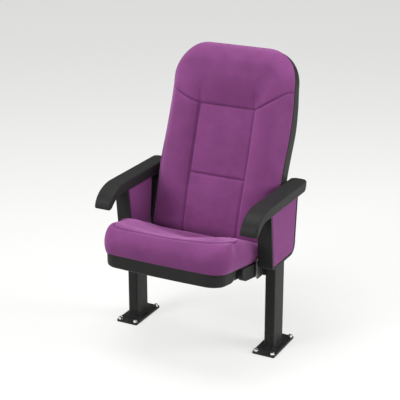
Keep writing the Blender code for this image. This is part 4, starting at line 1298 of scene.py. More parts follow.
@dataclass
class SeatCushion:
    """Upholstered seat: a top panel sewn to a boxing round its front and sides."""

    # Place and plan
    pivot: Vector = field(default_factory=lambda: Vector((0.0, 0.001, 0.318)))
    tilt: float = math.radians(10.0)
    base: float = 0.0168
    half: float = 0.2425
    front: float = 0.328
    rear: float = 0.028
    corner: float = 0.070
    rear_corner: float = 0.022
    # Heights of the cover above its base
    waist: float = 0.040
    crest: float = 0.097
    crest_ahead: float = 0.235
    low: float = 0.042
    # Raised sides, and the hollow between them
    dish: float = 0.013
    dish_half: float = 0.170
    dish_front: float = 0.110
    dish_rear: float = 0.035
    dip: float = 0.022
    dip_middle: float = -0.030
    dip_half: float = 0.180
    dip_front: float = 0.31
    dip_full: float = 0.21
    dip_power: float = 1.5
    # Rolled edges and the bow of the front
    side_roll: float = 0.025
    side_roll_rear: float = 0.015
    side_roll_from: float = 0.11
    side_roll_to: float = 0.24
    side_steps: int = 9
    front_roll: float = 0.080
    front_steps: int = 18
    rear_roll: float = 0.030
    rear_steps: int = 7
    bow: float = 0.010
    bow_start: float = 0.166
    bow_end: float = 0.316
    # Seam between the top panel and the boxing
    seam: Seam = Seam(depth=0.0042, width=0.0040, gather=0.0004, gather_reach=0.020, gather_pitch=0.050,
                      gather_phase=1.9)
    seam_front: float = 0.046
    seam_side: float = 0.024
    seam_corners: tuple[float, float] = (0.040, 0.080)
    seam_skew: float = 0.045
    seam_end: float = 0.03
    seam_fade: float = 0.004
    seam_side_points: int = 50
    seam_turn_points: int = 20
    seam_front_points: int = 60
    # Heights over which the seam fades out below the top panel, as shares of the waist
    seam_above: tuple[float, float] = (0.9, 1.1)
    # Pucker at each side
    pucker: float = 0.0066
    pucker_y: float = -0.214
    pucker_lean: float = 1.2
    pucker_width: float = 0.0165
    pucker_low: float = 0.078
    pucker_high: float = 0.108
    # Distances outside the seam, and shares of the half width, over which the pucker sets in
    pucker_gate: tuple[float, float] = (-0.012, 0.002)
    pucker_sides: tuple[float, float] = (0.6, 0.7)
    pucker_ridge: float = 0.55
    pucker_ridge_place: float = 1.9
    pucker_left: float = 0.35
    # Shares of the boxing's height, from the waist down, at which its rings lie
    boxing: tuple[float, ...] = (0.12, 0.28, 0.46, 0.64, 0.82, 0.94, 1.0)
    boxing_power: float = 2.2
    draw_in: float = 0.011
    held_rings: int = 4
    hem: float = 0.004
    tail: float = 0.0165
    skirt: float = 0.0014
    cell: float = 0.0055
    stuffing: Stuffing = Stuffing(pressure=3.0)

    def half_at(self, y: Array) -> Array:
        """Half width of the plan at each depth."""
        front = rounding(self.corner - self.front - y, self.corner)
        return self.half - front - rounding(y - (self.rear - self.rear_corner), self.rear_corner)

    def bow_at(self, x: Array, y: Array) -> Array:
        """How far each point is bowed forward, near the front edge."""
        return self.bow * (1.0 - (x / self.half) ** 2) * smooth(-y, self.bow_start, self.bow_end)

    def bowed(self, x: Array, y: Array) -> Array:
        """Depth of each point, with the front edge bowed forward."""
        return y - self.bow_at(x, y)

    def top_z(self, x: Array, y: Array) -> Array:
        """Height of the cover's top.

        Args:
            x: Places across the seat.
            y: Places along it, before the bow.

        Returns:
            Heights above the pivot.
        """
        fall = smooth(y, -self.crest_ahead, self.rear)
        side = np.minimum(np.abs(x) / self.dish_half, 1.0) ** 2
        behind = smooth(-y, -self.rear, self.dish_rear)
        dish = self.dish * side * smooth(y, -self.crest_ahead, -self.dish_front) * behind
        across = np.minimum(np.abs(x - self.dip_middle) / self.dip_half, 1.0)
        dip = self.dip * (1.0 - across ** 2) ** self.dip_power
        dip = dip * smooth(y, -self.dip_front, -self.dip_full) * behind
        height = self.crest + (self.low - self.crest) * fall + dish - dip
        ahead = smooth(-y, self.side_roll_from, self.side_roll_to)
        side_roll = self.side_roll_rear + (self.side_roll - self.side_roll_rear) * ahead
        edge = roll(self.half_at(y) - np.abs(x), side_roll)
        edge = edge * roll(y + self.front, self.front_roll) * roll(self.rear - y, self.rear_roll)
        return self.base + self.waist + (height - self.waist) * edge

    def seam_distance(self, x: Array, y: Array) -> tuple[Array, Array]:
        """Distance of each point of the plan outside the seam, and its place along the seam.

        Args:
            x: Places across the seat.
            y: Places along it, before the bow.

        Returns:
            The distances, below 0 inside the seam, and the places.
        """
        half, front = self.half - self.seam_side, self.front - self.seam_front
        corner = np.where(x < 0.0, *self.seam_corners)
        y = y - self.seam_skew * x
        across = np.abs(x) - (half - corner)
        ahead = -y - (front - corner)
        straight = np.maximum(np.abs(x) - half, -y - front)
        curved = np.hypot(np.maximum(across, 0.0), np.maximum(ahead, 0.0)) - corner
        signed = np.where((across > 0.0) & (ahead > 0.0), curved, straight)
        along = np.where(ahead > across, x, y)
        return signed, along

    def rows(self) -> Array:
        """Depths of the grid's rows, rear to front.

        Returns:
            Places along the seat, before the bow.
        """
        rear = rolled_places(self.rear, self.rear - self.rear_roll, self.rear_steps)[::-1]
        front = rolled_places(-self.front, self.front_roll - self.front, self.front_steps)
        return np.concatenate([rear[:-1], even_places(rear[-1], front[0], self.cell), front])

    def columns(self) -> Array:
        """Places of the grid's columns, as shares of the half width.

        Returns:
            Shares from -1 to 1.
        """
        side = self.half - self.side_roll
        places = np.concatenate([even_places(0.0, side, self.cell),
                                 rolled_places(self.half, side, self.side_steps)])
        return mirrored(places / self.half)

    def placed(self, points: Array) -> Array:
        """Turn points of the seat's own frame to its tilt and place."""
        turn = np.array(Matrix.Rotation(-self.tilt, 3, "X"))
        return points @ turn.T + np.array(self.pivot)

    def unplaced(self, points: Array) -> Array:
        """Take points back to the seat's own frame."""
        turn = np.array(Matrix.Rotation(-self.tilt, 3, "X"))
        return (points - np.array(self.pivot)) @ turn

    def ring(self, rows: Array, shares: Array, share: float, hem: float) -> Array:
        """Ring of the boxing: left side, front, right side and rear.

        Args:
            rows: Depths of the grid's rows.
            shares: Places of its columns, as shares of the half width.
            share: Share of the boxing's height, from the waist down.
            hem: How far the ring is turned in under the seat.

        Returns:
            Points in the seat's own frame.
        """
        drawn = share ** self.boxing_power
        inset = self.draw_in * drawn + hem
        half = self.half_at(rows) - inset
        rearward = (self.tail * drawn - hem) * smooth(rows, self.rear - self.rear_roll, self.rear)
        depth = np.maximum(rows, inset - self.front) + rearward
        inner = shares[1:-1]
        x = np.concatenate([-half, inner * half[-1], half[::-1], inner[::-1] * half[0]])
        front, rear = np.full(len(inner), depth[-1]), np.full(len(inner), depth[0])
        y = np.concatenate([depth, front, depth[::-1], rear])
        height = self.base - self.skirt + (self.waist + self.skirt) * (1.0 - share)
        return np.column_stack([x, self.bowed(x, y), np.full(len(x), height)])

    def build(self) -> None:
        """Make the cover and its stitches, and set them in place of the plain cushion."""
        rows, shares = self.rows(), self.columns()
        y = np.repeat(rows[:, None], len(shares), 1)
        x = self.half_at(y) * shares[None, :]
        x, y = x.ravel(), y.ravel()
        points = np.column_stack([x, self.bowed(x, y), self.top_z(x, y)])
        faces = [face[::-1] for face in grid_faces(len(rows), len(shares))]
        held = np.abs(self.seam_distance(x, y)[0]) < self.seam.hold
        upper = grid_rim(len(rows), len(shares))
        for share, hem in [*((share, 0.0) for share in self.boxing), (1.0, self.hem)]:
            lower = len(points) + np.arange(len(upper))
            points = np.vstack([points, self.ring(rows, shares, share, hem)])
            faces += band_faces(upper, lower)
            upper = lower
        held = np.append(held, np.zeros(len(points) - len(held), bool))
        held[-self.held_rings * len(upper):] = True
        cover = make_object("seat_upholstery", self.placed(points), faces)
        self.stuffing.fill(cover, held)
        self.close(cover, upper)
        refine(cover)
        self.sew(cover)
        settle(cover, Body.SEAT, PURPLE_CLOTH)
        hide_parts("seat_cushion")
        threads = Stitching().sew("seat_stitching", [self.seam_line()], cover)
        settle(threads, Body.SEAT, PURPLE_THREAD)

    def close(self, cover: Piece, floor: Array) -> None:
        """Close the cover underneath.

        Args:
            cover: The open cover.
            floor: Numbers of the ring round its foot.
        """
        faces = [tuple(p.vertices) for p in cover.data.polygons]
        for i in range(len(floor) // 2 - 1):
            faces.append((floor[i + 1], floor[i], floor[-1 - i], floor[-2 - i]))
        give_mesh(cover, make_mesh(cover.name, vertices(cover), faces))

    def sew(self, cover: Piece) -> None:
        """Draw the seam in, with the small gathers beside it and a pucker at each side, and keep the painted
        shade of its groove.

        Args:
            cover: The stuffed cover.
        """
        points = vertices(cover)
        x, flat_y, z = self.unplaced(points).T
        y = flat_y + self.bow_at(x, flat_y)
        outside, along = self.seam_distance(x, y)
        distance = np.abs(outside)
        low, high = self.seam_above
        facing = smooth(z, self.base + self.waist * low, self.base + self.waist * high)
        facing = facing * smooth(self.rear - y, self.seam_fade, self.seam_end)
        relief = self.seam.relief(distance, along, facing) - self.pucker_depth(x, y, z, outside)
        set_vertices(cover, points + normals(cover) * relief[:, None])
        # Painted shade: keep the darkening of the seam's groove for the cloth's colour
        remember(cover, "sewn", self.seam.shadow(distance, facing))

    def pucker_depth(self, x: Array, y: Array, z: Array, outside: Array) -> Array:
        """Depth of the pucker at each side, below 0 on the ridge beside it.

        Args:
            x: Places across the seat.
            y: Places along it, before the bow.
            z: Heights above the pivot.
            outside: Distances outside the seam.

        Returns:
            Depths along the cover's normals.
        """
        side = (y - self.pucker_y + self.pucker_lean * (self.pucker_high - z)) / self.pucker_width
        reach = smooth(z, self.pucker_low, self.pucker_high) * smooth(outside, *self.pucker_gate)
        reach = reach * smooth(np.abs(x), *(share * self.half for share in self.pucker_sides))
        fold = np.exp(-side ** 2) - self.pucker_ridge * np.exp(-(side - self.pucker_ridge_place) ** 2)
        return self.pucker * np.where(x > 0.0, 1.0, self.pucker_left) * fold * reach

    def seam_line(self) -> Array:
        """Points along the seam, from the left rear round the front to the right rear.

        Returns:
            Points in the chair's frame, one row each.
        """
        half, front = self.half - self.seam_side, self.front - self.seam_front
        turns = np.linspace(0.0, math.pi / 2, self.seam_turn_points)[1:-1]
        sides = []
        for corner in self.seam_corners:
            side_y = np.linspace(self.rear - self.seam_end, corner - front, self.seam_side_points)
            turn_x = half - corner + corner * np.cos(turns)
            turn_y = corner - front - corner * np.sin(turns)
            sides.append((np.append(np.full_like(side_y, half), turn_x), np.append(side_y, turn_y)))
        (left_x, left_y), (right_x, right_y) = sides
        left_corner, right_corner = self.seam_corners
        middle = np.linspace(left_corner - half, half - right_corner, self.seam_front_points)
        x = np.concatenate([-left_x, middle, right_x[::-1]])
        y = np.concatenate([left_y, np.full_like(middle, -front), right_y[::-1]]) + self.seam_skew * x
        return self.placed(np.column_stack([x, self.bowed(x, y), self.top_z(x, y)]))


@dataclass
class SideBox:
    """Upholstered panels of one side box, which carries an armrest."""

    side: Side
    leg_x: float = LEG_X
    leg_y: float = LEG_Y
    bottom: float = 0.328
    top: float = 0.5354
    arm_bottom: float = 0.536
    front_low: float = 0.080
    front_high: float = 0.103
    rear_low: float = 0.109
    rear_high: float = 0.1275
    width: float = 0.19
    edge: float = 0.0088
    front_radius: float = 0.0052
    rear_radius: float = 0.0272
    back: float = 0.0193
    board: float = 0.0045
    face: float = 0.0283
    setback: float = 0.046
    edge_roll: float = 0.0085
    edge_steps: int = 5
    pillow: float = 0.0010
    cell: float = 0.005

    @property
    def low(self) -> float:
        """Height of the panels' lower edge."""
        return self.bottom + self.edge

    def outline(self, z: Array, rear_setback: float) -> tuple[Array, Array]:
        """Front and rear edges of a panel at each height, with its rounded feet.

        Args:
            z: Heights.
            rear_setback: Strip left free behind it.

        Returns:
            Places of both edges along Y.
        """
        t = (z - self.bottom) / (self.arm_bottom - self.bottom)
        front = -(self.front_low + (self.front_high - self.front_low) * t) + self.edge
        rear = self.rear_low + (self.rear_high - self.rear_low) * t - self.edge - rear_setback
        rise = z - self.low
        return (front + rounding(self.front_radius - rise, self.front_radius),
                rear - rounding(self.rear_radius - rise, self.rear_radius))

    def places(self, low: float, high: float, edge: float, count: int) -> Array:
        """Places between two rolled edges.

        Args:
            low: Place of the first edge.
            high: Place of the second edge.
            edge: Width of each roll.
            count: Number of places between the rolls, with both ends.

        Returns:
            Places from low to high, closer together towards the edges.
        """
        first = rolled_places(low, low + edge, self.edge_steps)[::-1]
        middle = np.linspace(low + edge, high - edge, count)
        return np.concatenate([first[:-1], middle[:-1], rolled_places(high, high - edge, self.edge_steps)])

    def cushioned(self, rear_setback: float) -> tuple[Array, Array, Array]:
        """Grid over the face of a panel.

        Args:
            rear_setback: Strip left free behind it.

        Returns:
            Its depths outward, its places along Y and its heights.
        """
        low, top = self.low, self.top
        rows = self.places(low, top, self.edge_roll, int((top - low) / self.cell))
        width = self.width - rear_setback
        shares = self.places(0.0, 1.0, self.edge_roll / width, int(width / self.cell))
        z = np.repeat(rows[:, None], len(shares), 1)
        front, rear = self.outline(z, rear_setback)
        y = front + (rear - front) * shares[None, :]
        inside = np.minimum(np.minimum(z - low, top - z), np.minimum(y - front, rear - y))
        upward = np.sin(math.pi * np.clip((z - low) / (top - low), 0.0, 1.0))
        span = upward * np.sin(math.pi * shares)[None, :]
        rise = (self.face - self.back - self.board - self.pillow) * roll(inside, self.edge_roll)
        return self.back + self.board + rise + self.pillow * span, y, z

    def add_panel(self, name: str, way: int, rear_setback: float) -> None:
        """Make one padded panel in place of its plain board.

        Args:
            name: Name of the board that it replaces.
            way: Which way it faces along X.
            rear_setback: Strip left free behind it.
        """
        depth, y, z = self.cushioned(rear_setback)
        outer = np.column_stack([way * depth.ravel(), y.ravel(), z.ravel()])
        rim = grid_rim(*z.shape)
        inner = outer[rim]
        inner[:, 0] = way * self.back
        lower = z.size + np.arange(len(rim))
        faces = [face[::way] for face in grid_faces(*z.shape)]
        faces += [face[::-way] for face in band_faces(rim, lower)]
        faces.append(tuple(lower[::way]))
        points = np.vstack([outer, inner]) + np.array([self.side.value * self.leg_x, self.leg_y, 0.0])
        panel = make_object(name.replace("panel", "upholstery"), points, faces)
        settle(panel, Body.FRAME, PURPLE_CLOTH)
        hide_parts(name)

    def build(self) -> None:
        """Make the outer and the inner panel."""
        self.add_panel(f"outer_panel_{self.side.word}", self.side.value, 0.0)
        self.add_panel(f"inner_panel_{self.side.word}", -self.side.value, self.setback)


@dataclass
class LegFoot:
    """Weld bead round the foot of a leg, on its floor plate."""

    side: Side
    leg_x: float = LEG_X
    leg_y: float = LEG_Y
    half_width: float = 0.019
    half_depth: float = 0.041
    corner: float = 0.006
    corner_points: int = 9
    plate: float = 0.008
    gap: float = 0.0004
    radius: float = 0.0032
    wave: float = 0.00035
    pitch: float = 0.0042
    steps: int = 4
    uneven: float = 0.0003
    uneven_steps: float = 37.0
    sides: int = 8

    def path(self) -> Array:
        """Points round the leg, close enough for the bead's waves.

        Returns:
            Places along X and Y from the leg's middle, one row each.
        """
        points: list[tuple[float, float]] = []
        w, d, r = self.half_width, self.half_depth, self.corner
        turns = [(w - r, d - r, 0.0), (r - w, d - r, 90.0), (r - w, r - d, 180.0), (w - r, r - d, 270.0)]
        for x, y, start in turns:
            for a in np.radians(np.linspace(start, start + 90.0, self.corner_points)):
                points.append((x + r * math.cos(a), y + r * math.sin(a)))
        loop = np.array(points + points[:1])
        along = np.concatenate([[0.0], np.cumsum(np.linalg.norm(np.diff(loop, axis=0), axis=1))])
        places = np.linspace(0.0, along[-1], int(along[-1] / (self.pitch / self.steps)) + 1)[:-1]
        return np.column_stack([np.interp(places, along, loop[:, i]) for i in range(2)])

    def build(self) -> None:
        """Lay the bead."""
        path = self.path()
        count = len(path)
        run = np.roll(path, -1, 0) - np.roll(path, 1, 0)
        run /= np.linalg.norm(run, axis=1, keepdims=True)
        outward = np.column_stack([run[:, 1], -run[:, 0]])
        step = np.arange(count)
        radius = self.radius + self.wave * np.sin(step * 2.0 * math.pi / self.steps)
        radius = radius + self.uneven * ripple(step, self.uneven_steps, self.side.value)
        turns = np.linspace(0.0, math.pi / 2, self.sides)
        section = [(radius * math.cos(a), radius * math.sin(a)) for a in turns]
        section.append((np.zeros(count), np.zeros(count)))
        loops = [np.column_stack([path + outward * (self.gap + out)[:, None], self.plate + self.gap + up])
                 for out, up in section]
        rings = np.arange(len(loops) * count).reshape(-1, count)
        faces = tube_faces(np.vstack([rings, rings[:1]]))
        points = np.vstack(loops) + np.array([self.side.value * self.leg_x, self.leg_y, 0.0])
        bead = make_object(f"weld_bead_{self.side.word}", points, faces)
        settle(bead, Body.FRAME, BLACK_PAINT)


@dataclass
class Armrest:
    """Moulded armrest with a drooping nose."""

    side: Side
    leg_x: float = LEG_X
    leg_y: float = LEG_Y
    bottom: float = 0.536
    top: float = 0.577
    width: float = 0.0635
    outset: float = 0.002
    ahead: float = 0.233
    behind: float = 0.206
    nose_length: float = 0.108
    nose_drop: float = 0.034
    nose_lip: float = 0.015
    nose_hollow: float = 0.062
    tail_radius: float = 0.026
    tail_top_radius: float = 0.012
    plan_radius: float = 0.024
    edge_radius: float = 0.0064
    cap_inset: float = 0.0006
    nose_steps: int = 16
    hollow_steps: int = 8
    corner_points: int = 6
    plan_points: int = 4
    runs: int = 12

    def outline(self) -> Array:
        """Side view of the armrest, anticlockwise from the top of its nose.

        Returns:
            Places along Y from the legs' middle, and heights, one row each.
        """
        lip = self.bottom - self.nose_drop
        start = self.nose_length - self.ahead
        turns = np.linspace(0.0, math.pi / 2, self.nose_steps + 1)
        nose = np.column_stack([start - self.nose_length * np.sin(turns),
                                lip + (self.top - lip) * np.cos(turns)])
        t = np.linspace(0.0, 1.0, self.hollow_steps + 1)
        hollow = np.column_stack([self.nose_lip - self.ahead + self.nose_hollow * t,
                                  lip + self.nose_drop * np.sin(math.pi / 2 * t)])
        low = self.rounded_corner((self.behind - self.tail_radius, self.bottom + self.tail_radius),
                                  self.tail_radius, 270.0)
        high = self.rounded_corner((self.behind - self.tail_top_radius, self.top - self.tail_top_radius),
                                   self.tail_top_radius, 0.0)
        under = np.linspace(hollow[-1], low[0], self.runs + 1)[1:-1]
        over = np.linspace(high[-1], nose[0], self.runs + 1)[1:-1]
        return np.vstack([nose, hollow, under, low, high, over])

    def rounded_corner(self, centre: tuple[float, float], radius: float, start: float) -> Array:
        """Quarter turn, anticlockwise from a start angle in degrees."""
        turns = np.radians(np.linspace(start, start + 90.0, self.corner_points))
        return np.column_stack([centre[0] + radius * np.cos(turns), centre[1] + radius * np.sin(turns)])

    def sections(self) -> list[tuple[float, Array]]:
        """Side views from one face towards the middle, each with its distance from the middle.

        Returns:
            The distances and the side views.
        """
        turns = np.radians(np.linspace(0.0, 90.0, self.corner_points))
        edges = np.concatenate([self.edge_radius * (1.0 - np.cos(turns)),
                                np.linspace(self.edge_radius, self.plan_radius, self.plan_points)[1:]])
        made = []
        for edge in edges:
            inset = self.edge_radius * (1.0 - float(roll(edge, self.edge_radius)))
            points = offset_inward(self.outline(), inset)
            tail = self.plan_radius * (1.0 - float(roll(edge, self.plan_radius)))
            points[:, 0] -= tail * smooth(points[:, 0], self.behind - 2.0 * self.plan_radius, self.behind)
            made.append((self.width / 2 - edge, points))
        return [(self.width / 2, offset_inward(made[0][1], self.cap_inset)), *made]

    def build(self) -> None:
        """Make the armrest in place of the faceted one."""
        half = self.sections()
        middle = self.side.value * (self.leg_x + self.outset)
        both = [(-x, points) for x, points in half] + half[::-1]
        loops = [np.column_stack([np.full(len(points), middle + x), points[:, 0] + self.leg_y, points[:, 1]])
                 for x, points in both]
        arm = lofted(f"moulded_arm_{self.side.word}", loops, Caps.OPEN)
        refine(arm)
        fill_ends(arm)
        settle(arm, Body.FRAME, BLACK_MOULDING)
        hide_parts(f"armrest_{self.side.word}")


@dataclass
class BackShell:
    """Moulded shell behind the back cushion, with its board: side walls, a fillet and a rear wall."""

    back: Backrest = field(default_factory=Backrest)
    half: float = 0.2455
    low: float = 0.353
    top: float = 1.0040
    corner: float = 0.1115
    low_corner: float = 0.024
    # Least share of the lower corners' radius that an inset leaves
    low_corner_least: float = 0.2
    foot_points: int = 9
    side_points: int = 42
    head_points: int = 25
    fillet_points: int = 10
    depth: float = 0.079
    head_depth: float = 0.063
    wall: float = 0.004
    draft: float = 0.001
    fillet: float = 0.030
    rim: float = 0.0003
    # Shares of the side wall, from the fillet to the rim, at which its loops lie
    wall_shares: tuple[float, ...] = (0.35, 0.7, 0.94)
    # Inset, and distance behind the rim, of the loops that round the rim off
    rim_loops: tuple[tuple[float, float], ...] = ((0.0002, 0.0008), (0.0010, 0.0))
    hips: float = 0.0055
    hips_low: float = 0.47
    hips_high: float = 0.58
    board_inset: float = 0.0058
    board_thick: float = 0.010
    board_hips: float = -0.0045

    def rows(self, inset: float) -> tuple[Array, Array]:
        """Half widths and heights of the outline, bottom to top, drawn in by an inset.

        Args:
            inset: Distance inside the outline.

        Returns:
            The half widths, before the taper, and the heights.
        """
        low = max(self.low_corner - inset, self.low_corner * self.low_corner_least)
        turns = np.linspace(0.0, math.pi / 2, self.foot_points)
        arc = self.top - self.corner
        foot_x = self.half - inset - low * (1.0 - np.sin(turns))
        foot_z = self.low + inset + low * (1.0 - np.cos(turns))
        side_z = np.linspace(self.low + self.low_corner, arc, self.side_points)[1:-1]
        turns = np.linspace(0.0, math.pi / 2, self.head_points)
        head_x = self.half - self.corner + (self.corner - inset) * np.cos(turns)
        head_z = arc + (self.corner - inset) * np.sin(turns)
        return (np.concatenate([foot_x, np.full(len(side_z), self.half - inset), head_x]),
                np.concatenate([foot_z, side_z, head_z]))

    def loop(self, inset: float, share: float, offset: float, hips: float) -> Array:
        """Loop of points round the shell.

        Args:
            inset: Distance inside the outline.
            share: Share of the shell's depth behind the parting line.
            offset: Distance behind that.
            hips: How much wider each side is low down.

        Returns:
            Points up the left side and down the right side.
        """
        half, z = self.rows(inset)
        shallow = (self.head_depth - self.depth) * smooth(z, self.back.full, self.top - self.corner)
        deep = self.depth + shallow - self.back.wrapped(z)
        y = self.back.parting_y(z) + share * deep + offset + self.back.leg_y
        x = half * self.back.narrowed(z) + hips * (1.0 - smooth(z, self.hips_low, self.hips_high))
        return np.vstack([np.column_stack([-x, y, z]), np.column_stack([x, y, z])[::-1]])

    def levels(self) -> list[Triple]:
        """Inset, share of the depth and offset of each loop, from the rear wall round the rim and back.

        Returns:
            The first three arguments of each loop.
        """
        turns = np.radians(np.linspace(90.0, 0.0, self.fillet_points))
        inner = self.fillet - self.wall
        outside = [(self.draft + self.fillet * (1.0 - math.cos(a)), 1.0, -self.fillet * (1.0 - math.sin(a)))
                   for a in turns]
        walls = [(self.draft * (1.0 - s), 1.0 - s, -self.fillet * (1.0 - s)) for s in self.wall_shares]
        rim = [(inset, 0.0, self.rim + level) for inset, level in (*self.rim_loops, (self.wall, 0.0))]
        inside = [(self.draft + self.fillet - inner * math.cos(a), 1.0, inner * math.sin(a) - self.fillet)
                  for a in turns[::-1]]
        return outside + walls + rim + inside

    def build(self) -> None:
        """Make the shell and its board in place of the faceted ones."""
        loops = [self.loop(*level, self.hips) for level in self.levels()]
        shell = lofted("moulded_shell", loops[::-1], Caps.STRIPS)
        settle(shell, Body.FRAME, BLACK_MOULDING)
        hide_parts("back_shell")
        sheets = [self.loop(self.board_inset, 0.0, self.rim + level, self.board_hips)
                  for level in (0.0, self.board_thick)]
        board = lofted("plywood_back", sheets, Caps.STRIPS)
        settle(board, Body.FRAME, RAW_PLYWOOD)
        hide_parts("back_board")


@dataclass
class SeatPan:
    """Moulded pan under the seat cushion; it widens ahead of the hinge arms."""

    seat: SeatCushion = field(default_factory=SeatCushion)
    rise: float = 0.0165
    depth: float = 0.049
    half: float = 0.2224
    front: float = 0.316
    rear: float = 0.048
    corner: float = 0.060
    rear_corner: float = 0.020
    wall: float = 0.004
    draft: float = 0.004
    fillet: float = 0.012
    flare: float = 0.0085
    flare_start: float = 0.174
    flare_end: float = 0.214
    rim_round: float = 0.0012
    rim_ease: float = 0.3
    rim_drop: float = 0.0003
    rear_points: int = 9
    side_points: int = 40
    corner_points: int = 17
    front_points: int = 30
    fillet_points: int = 8

    def loop(self, inset: float, z: float) -> Array:
        """Loop of points round the pan at a height, drawn in by an inset.

        Args:
            inset: Distance inside the outline.
            z: Height in the seat's own frame.

        Returns:
            Points forward along the left side, across the front and back along the right side.
        """
        turns = np.linspace(math.pi / 2, 0.0, self.rear_points)
        rear = self.rear_corner - inset
        rear_x = self.half - self.rear_corner + rear * np.cos(turns)
        rear_y = self.rear - self.rear_corner + rear * np.sin(turns)
        ends = (self.rear - self.rear_corner, self.corner - self.front)
        side_y = np.linspace(*ends, self.side_points)[1:-1]
        turns = np.linspace(0.0, math.pi / 2, self.corner_points)
        front = self.corner - inset
        front_x = self.half - self.corner + front * np.cos(turns)
        front_y = self.corner - self.front - front * np.sin(turns)
        x = np.concatenate([rear_x, np.full(len(side_y), self.half - inset), front_x])
        y = np.concatenate([rear_y, side_y, front_y])
        x = x + self.flare * smooth(-y, self.flare_start, self.flare_end)
        across = np.linspace(-x[-1], x[-1], self.front_points)[1:-1]
        x = np.concatenate([-x, across, x[::-1]])
        y = np.concatenate([y, np.full(len(across), y[-1]), y[::-1]])
        return np.column_stack([x, self.seat.bowed(x, y), np.full(len(x), z)])

    def build(self) -> None:
        """Make the pan in place of the faceted one."""
        knee = self.rise - self.depth + self.fillet
        inner = self.fillet - self.wall
        turns = np.radians(np.linspace(90.0, 0.0, self.fillet_points))
        outside = [(self.draft + self.fillet * (1.0 - math.cos(a)), knee - self.fillet * math.sin(a))
                   for a in turns]
        rim = [(0.0, self.rise - self.rim_round),
               (self.rim_round * self.rim_ease, self.rise - self.rim_drop),
               (self.rim_round, self.rise),
               (self.wall, self.rise)]
        inside = [(self.draft + self.fillet - inner * math.cos(a), knee - inner * math.sin(a))
                  for a in turns[::-1]]
        loops = [self.seat.placed(self.loop(inset, z)) for inset, z in outside + rim + inside]
        pan = lofted("moulded_pan", loops, Caps.FLAT)
        settle(pan, Body.SEAT, BLACK_MOULDING)
        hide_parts("seat_pan")


@dataclass
class Metalwork:
    """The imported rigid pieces, which keep their shapes and get their finishes."""

    def build(self) -> None:
        """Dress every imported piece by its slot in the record, or by its name where that has a finish."""
        for part in frame["record"]["subparts"]:
            finish = SLOT_FINISHES[Slot(part["material_slot"])]
            for start, own in NODE_FINISHES.items():
                finish = own if part["node"].startswith(start) else finish
            dress(frame["nodes"][part["node"]], finish)
            LOG.info("%s wears %s", part["node"], finish.name)


# Studio


@dataclass(frozen=True)
class Lamp:
    """Soft square lamp: where it hangs, the side of its face and its power in watts."""

    name: str
    place: Triple
    size: float
    power: float

    def hang(self, target: Vector) -> None:
        """Hang the lamp so that it faces a target.

        Args:
            target: Point that it faces.
        """
        light = bpy.data.lights.new(self.name, "AREA")
        light.size = self.size
        light.energy = self.power
        lamp = bpy.data.objects.new(self.name, light)
        lamp.location = self.place
        lamp.rotation_euler = (target - Vector(self.place)).to_track_quat("-Z", "Y").to_euler()
        bpy.context.scene.collection.objects.link(lamp)


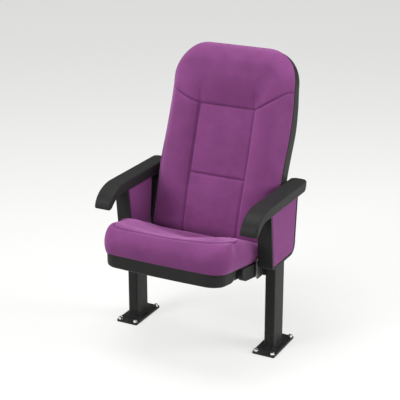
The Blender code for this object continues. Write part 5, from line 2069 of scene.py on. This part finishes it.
@dataclass
class Studio:
    """Pale floor, soft lamps and the camera."""

    target: Vector = field(default_factory=lambda: Vector((0.0, -0.0042, 0.5302)))
    azimuth: float = math.radians(27.48)
    elevation: float = math.radians(20.17)
    distance: float = 4.1832
    lens: float = 106.66
    sensor: float = 36.0
    shift: tuple[float, float] = (-0.87 / PHOTO_SIDE, -2.99 / PHOTO_SIDE)
    lamps: tuple[Lamp, ...] = (
        Lamp("key", (-2.0, -3.2, 2.5), 1.8, 95.0),
        Lamp("top", (-0.5, -0.1, 3.4), 1.6, 57.0),
        Lamp("rim", (3.2, 0.9, 1.7), 1.8, 92.0),
        Lamp("fill", (1.8, -3.4, 1.4), 2.0, 20.0),
    )
    floor_half: float = 30.0
    floor_colour: Colour = (0.36, 0.36, 0.355)
    floor_cloud: float = 0.9
    floor_layers: float = 3.0
    floor_roughness: float = 0.9
    floor_gloss: float = 0.1
    floor_shades: Shades = ((0.3, 0.985), (0.7, 1.0))
    floor_seen: Colour = (0.62, 0.62, 0.615)
    room_light: float = 0.20
    room_seen: Colour = (0.71, 0.71, 0.70)

    def add_floor(self) -> None:
        """Lay the floor, which the camera sees paler than its light would make it."""
        half = self.floor_half
        corners = np.array([(-half, -half, 0.0), (half, -half, 0.0), (half, half, 0.0), (-half, half, 0.0)])
        floor = make_object("floor", corners, [(0, 1, 2, 3)])
        graph = Graph("pale_floor")
        cloud = graph.noise(self.floor_cloud, self.floor_layers)
        graph.paint(cloud, self.floor_colour, self.floor_shades)
        graph.constant(Roughness=self.floor_roughness, Specular_IOR_Level=self.floor_gloss,
                       Emission_Color=(*self.floor_seen, 1.0))
        path = graph.node("ShaderNodeLightPath")
        seen = graph.number("MAXIMUM", path.outputs["Is Camera Ray"], path.outputs["Is Glossy Ray"])
        seen = graph.number("MAXIMUM", seen, path.outputs["Is Transmission Ray"])
        graph.wire(seen, graph.shader.inputs["Emission Strength"])
        floor.data.materials.append(graph.material)

    def add_world(self) -> None:
        """Light the room evenly and show it pale to the camera."""
        world = bpy.data.worlds.new("studio")
        world.use_nodes = True
        graph = Nodes(world.node_tree)
        room = graph.tree.nodes["Background"]
        room.inputs["Color"].default_value = (1.0, 1.0, 1.0, 1.0)
        room.inputs["Strength"].default_value = self.room_light
        seen = graph.node("ShaderNodeBackground", Color=(*self.room_seen, 1.0), Strength=1.0)
        path = graph.node("ShaderNodeLightPath")
        mix = graph.node("ShaderNodeMixShader")
        either = graph.number("MAXIMUM", path.outputs["Is Camera Ray"], path.outputs["Is Transmission Ray"])
        graph.wire(either, mix.inputs["Fac"])
        graph.wire(room.outputs["Background"], mix.inputs[1])
        graph.wire(seen.outputs["Background"], mix.inputs[2])
        graph.wire(mix.outputs["Shader"], graph.tree.nodes["World Output"].inputs["Surface"])
        bpy.context.scene.world = world

    def add_camera(self) -> None:
        """Set the camera at the photograph's angle."""
        level = math.cos(self.elevation)
        way = Vector((math.sin(self.azimuth) * level, -math.cos(self.azimuth) * level,
                      math.sin(self.elevation)))
        camera = bpy.data.cameras.new("camera")
        camera.lens = self.lens
        camera.sensor_width = self.sensor
        camera.shift_x, camera.shift_y = self.shift
        eye = bpy.data.objects.new("camera", camera)
        eye.location = self.target + way * self.distance
        eye.rotation_euler = (-way).to_track_quat("-Z", "Y").to_euler()
        bpy.context.scene.collection.objects.link(eye)
        bpy.context.scene.camera = eye

    def build(self) -> None:
        """Set up the floor, the lamps, the room and the camera."""
        self.add_floor()
        for lamp in self.lamps:
            lamp.hang(self.target)
        self.add_world()
        self.add_camera()
        bpy.context.scene.view_settings.view_transform = "Standard"


def main() -> None:
    """Dress the chair and set up its studio."""
    logging.basicConfig(level=logging.INFO, format="%(name)s: %(message)s")
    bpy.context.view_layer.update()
    Studio().build()
    Metalwork().build()
    Backrest().build()
    SeatCushion().build()
    BackShell().build()
    SeatPan().build()
    for side in Side:
        Armrest(side).build()
        SideBox(side).build()
        LegFoot(side).build()


if __name__ == "__main__":
    main()
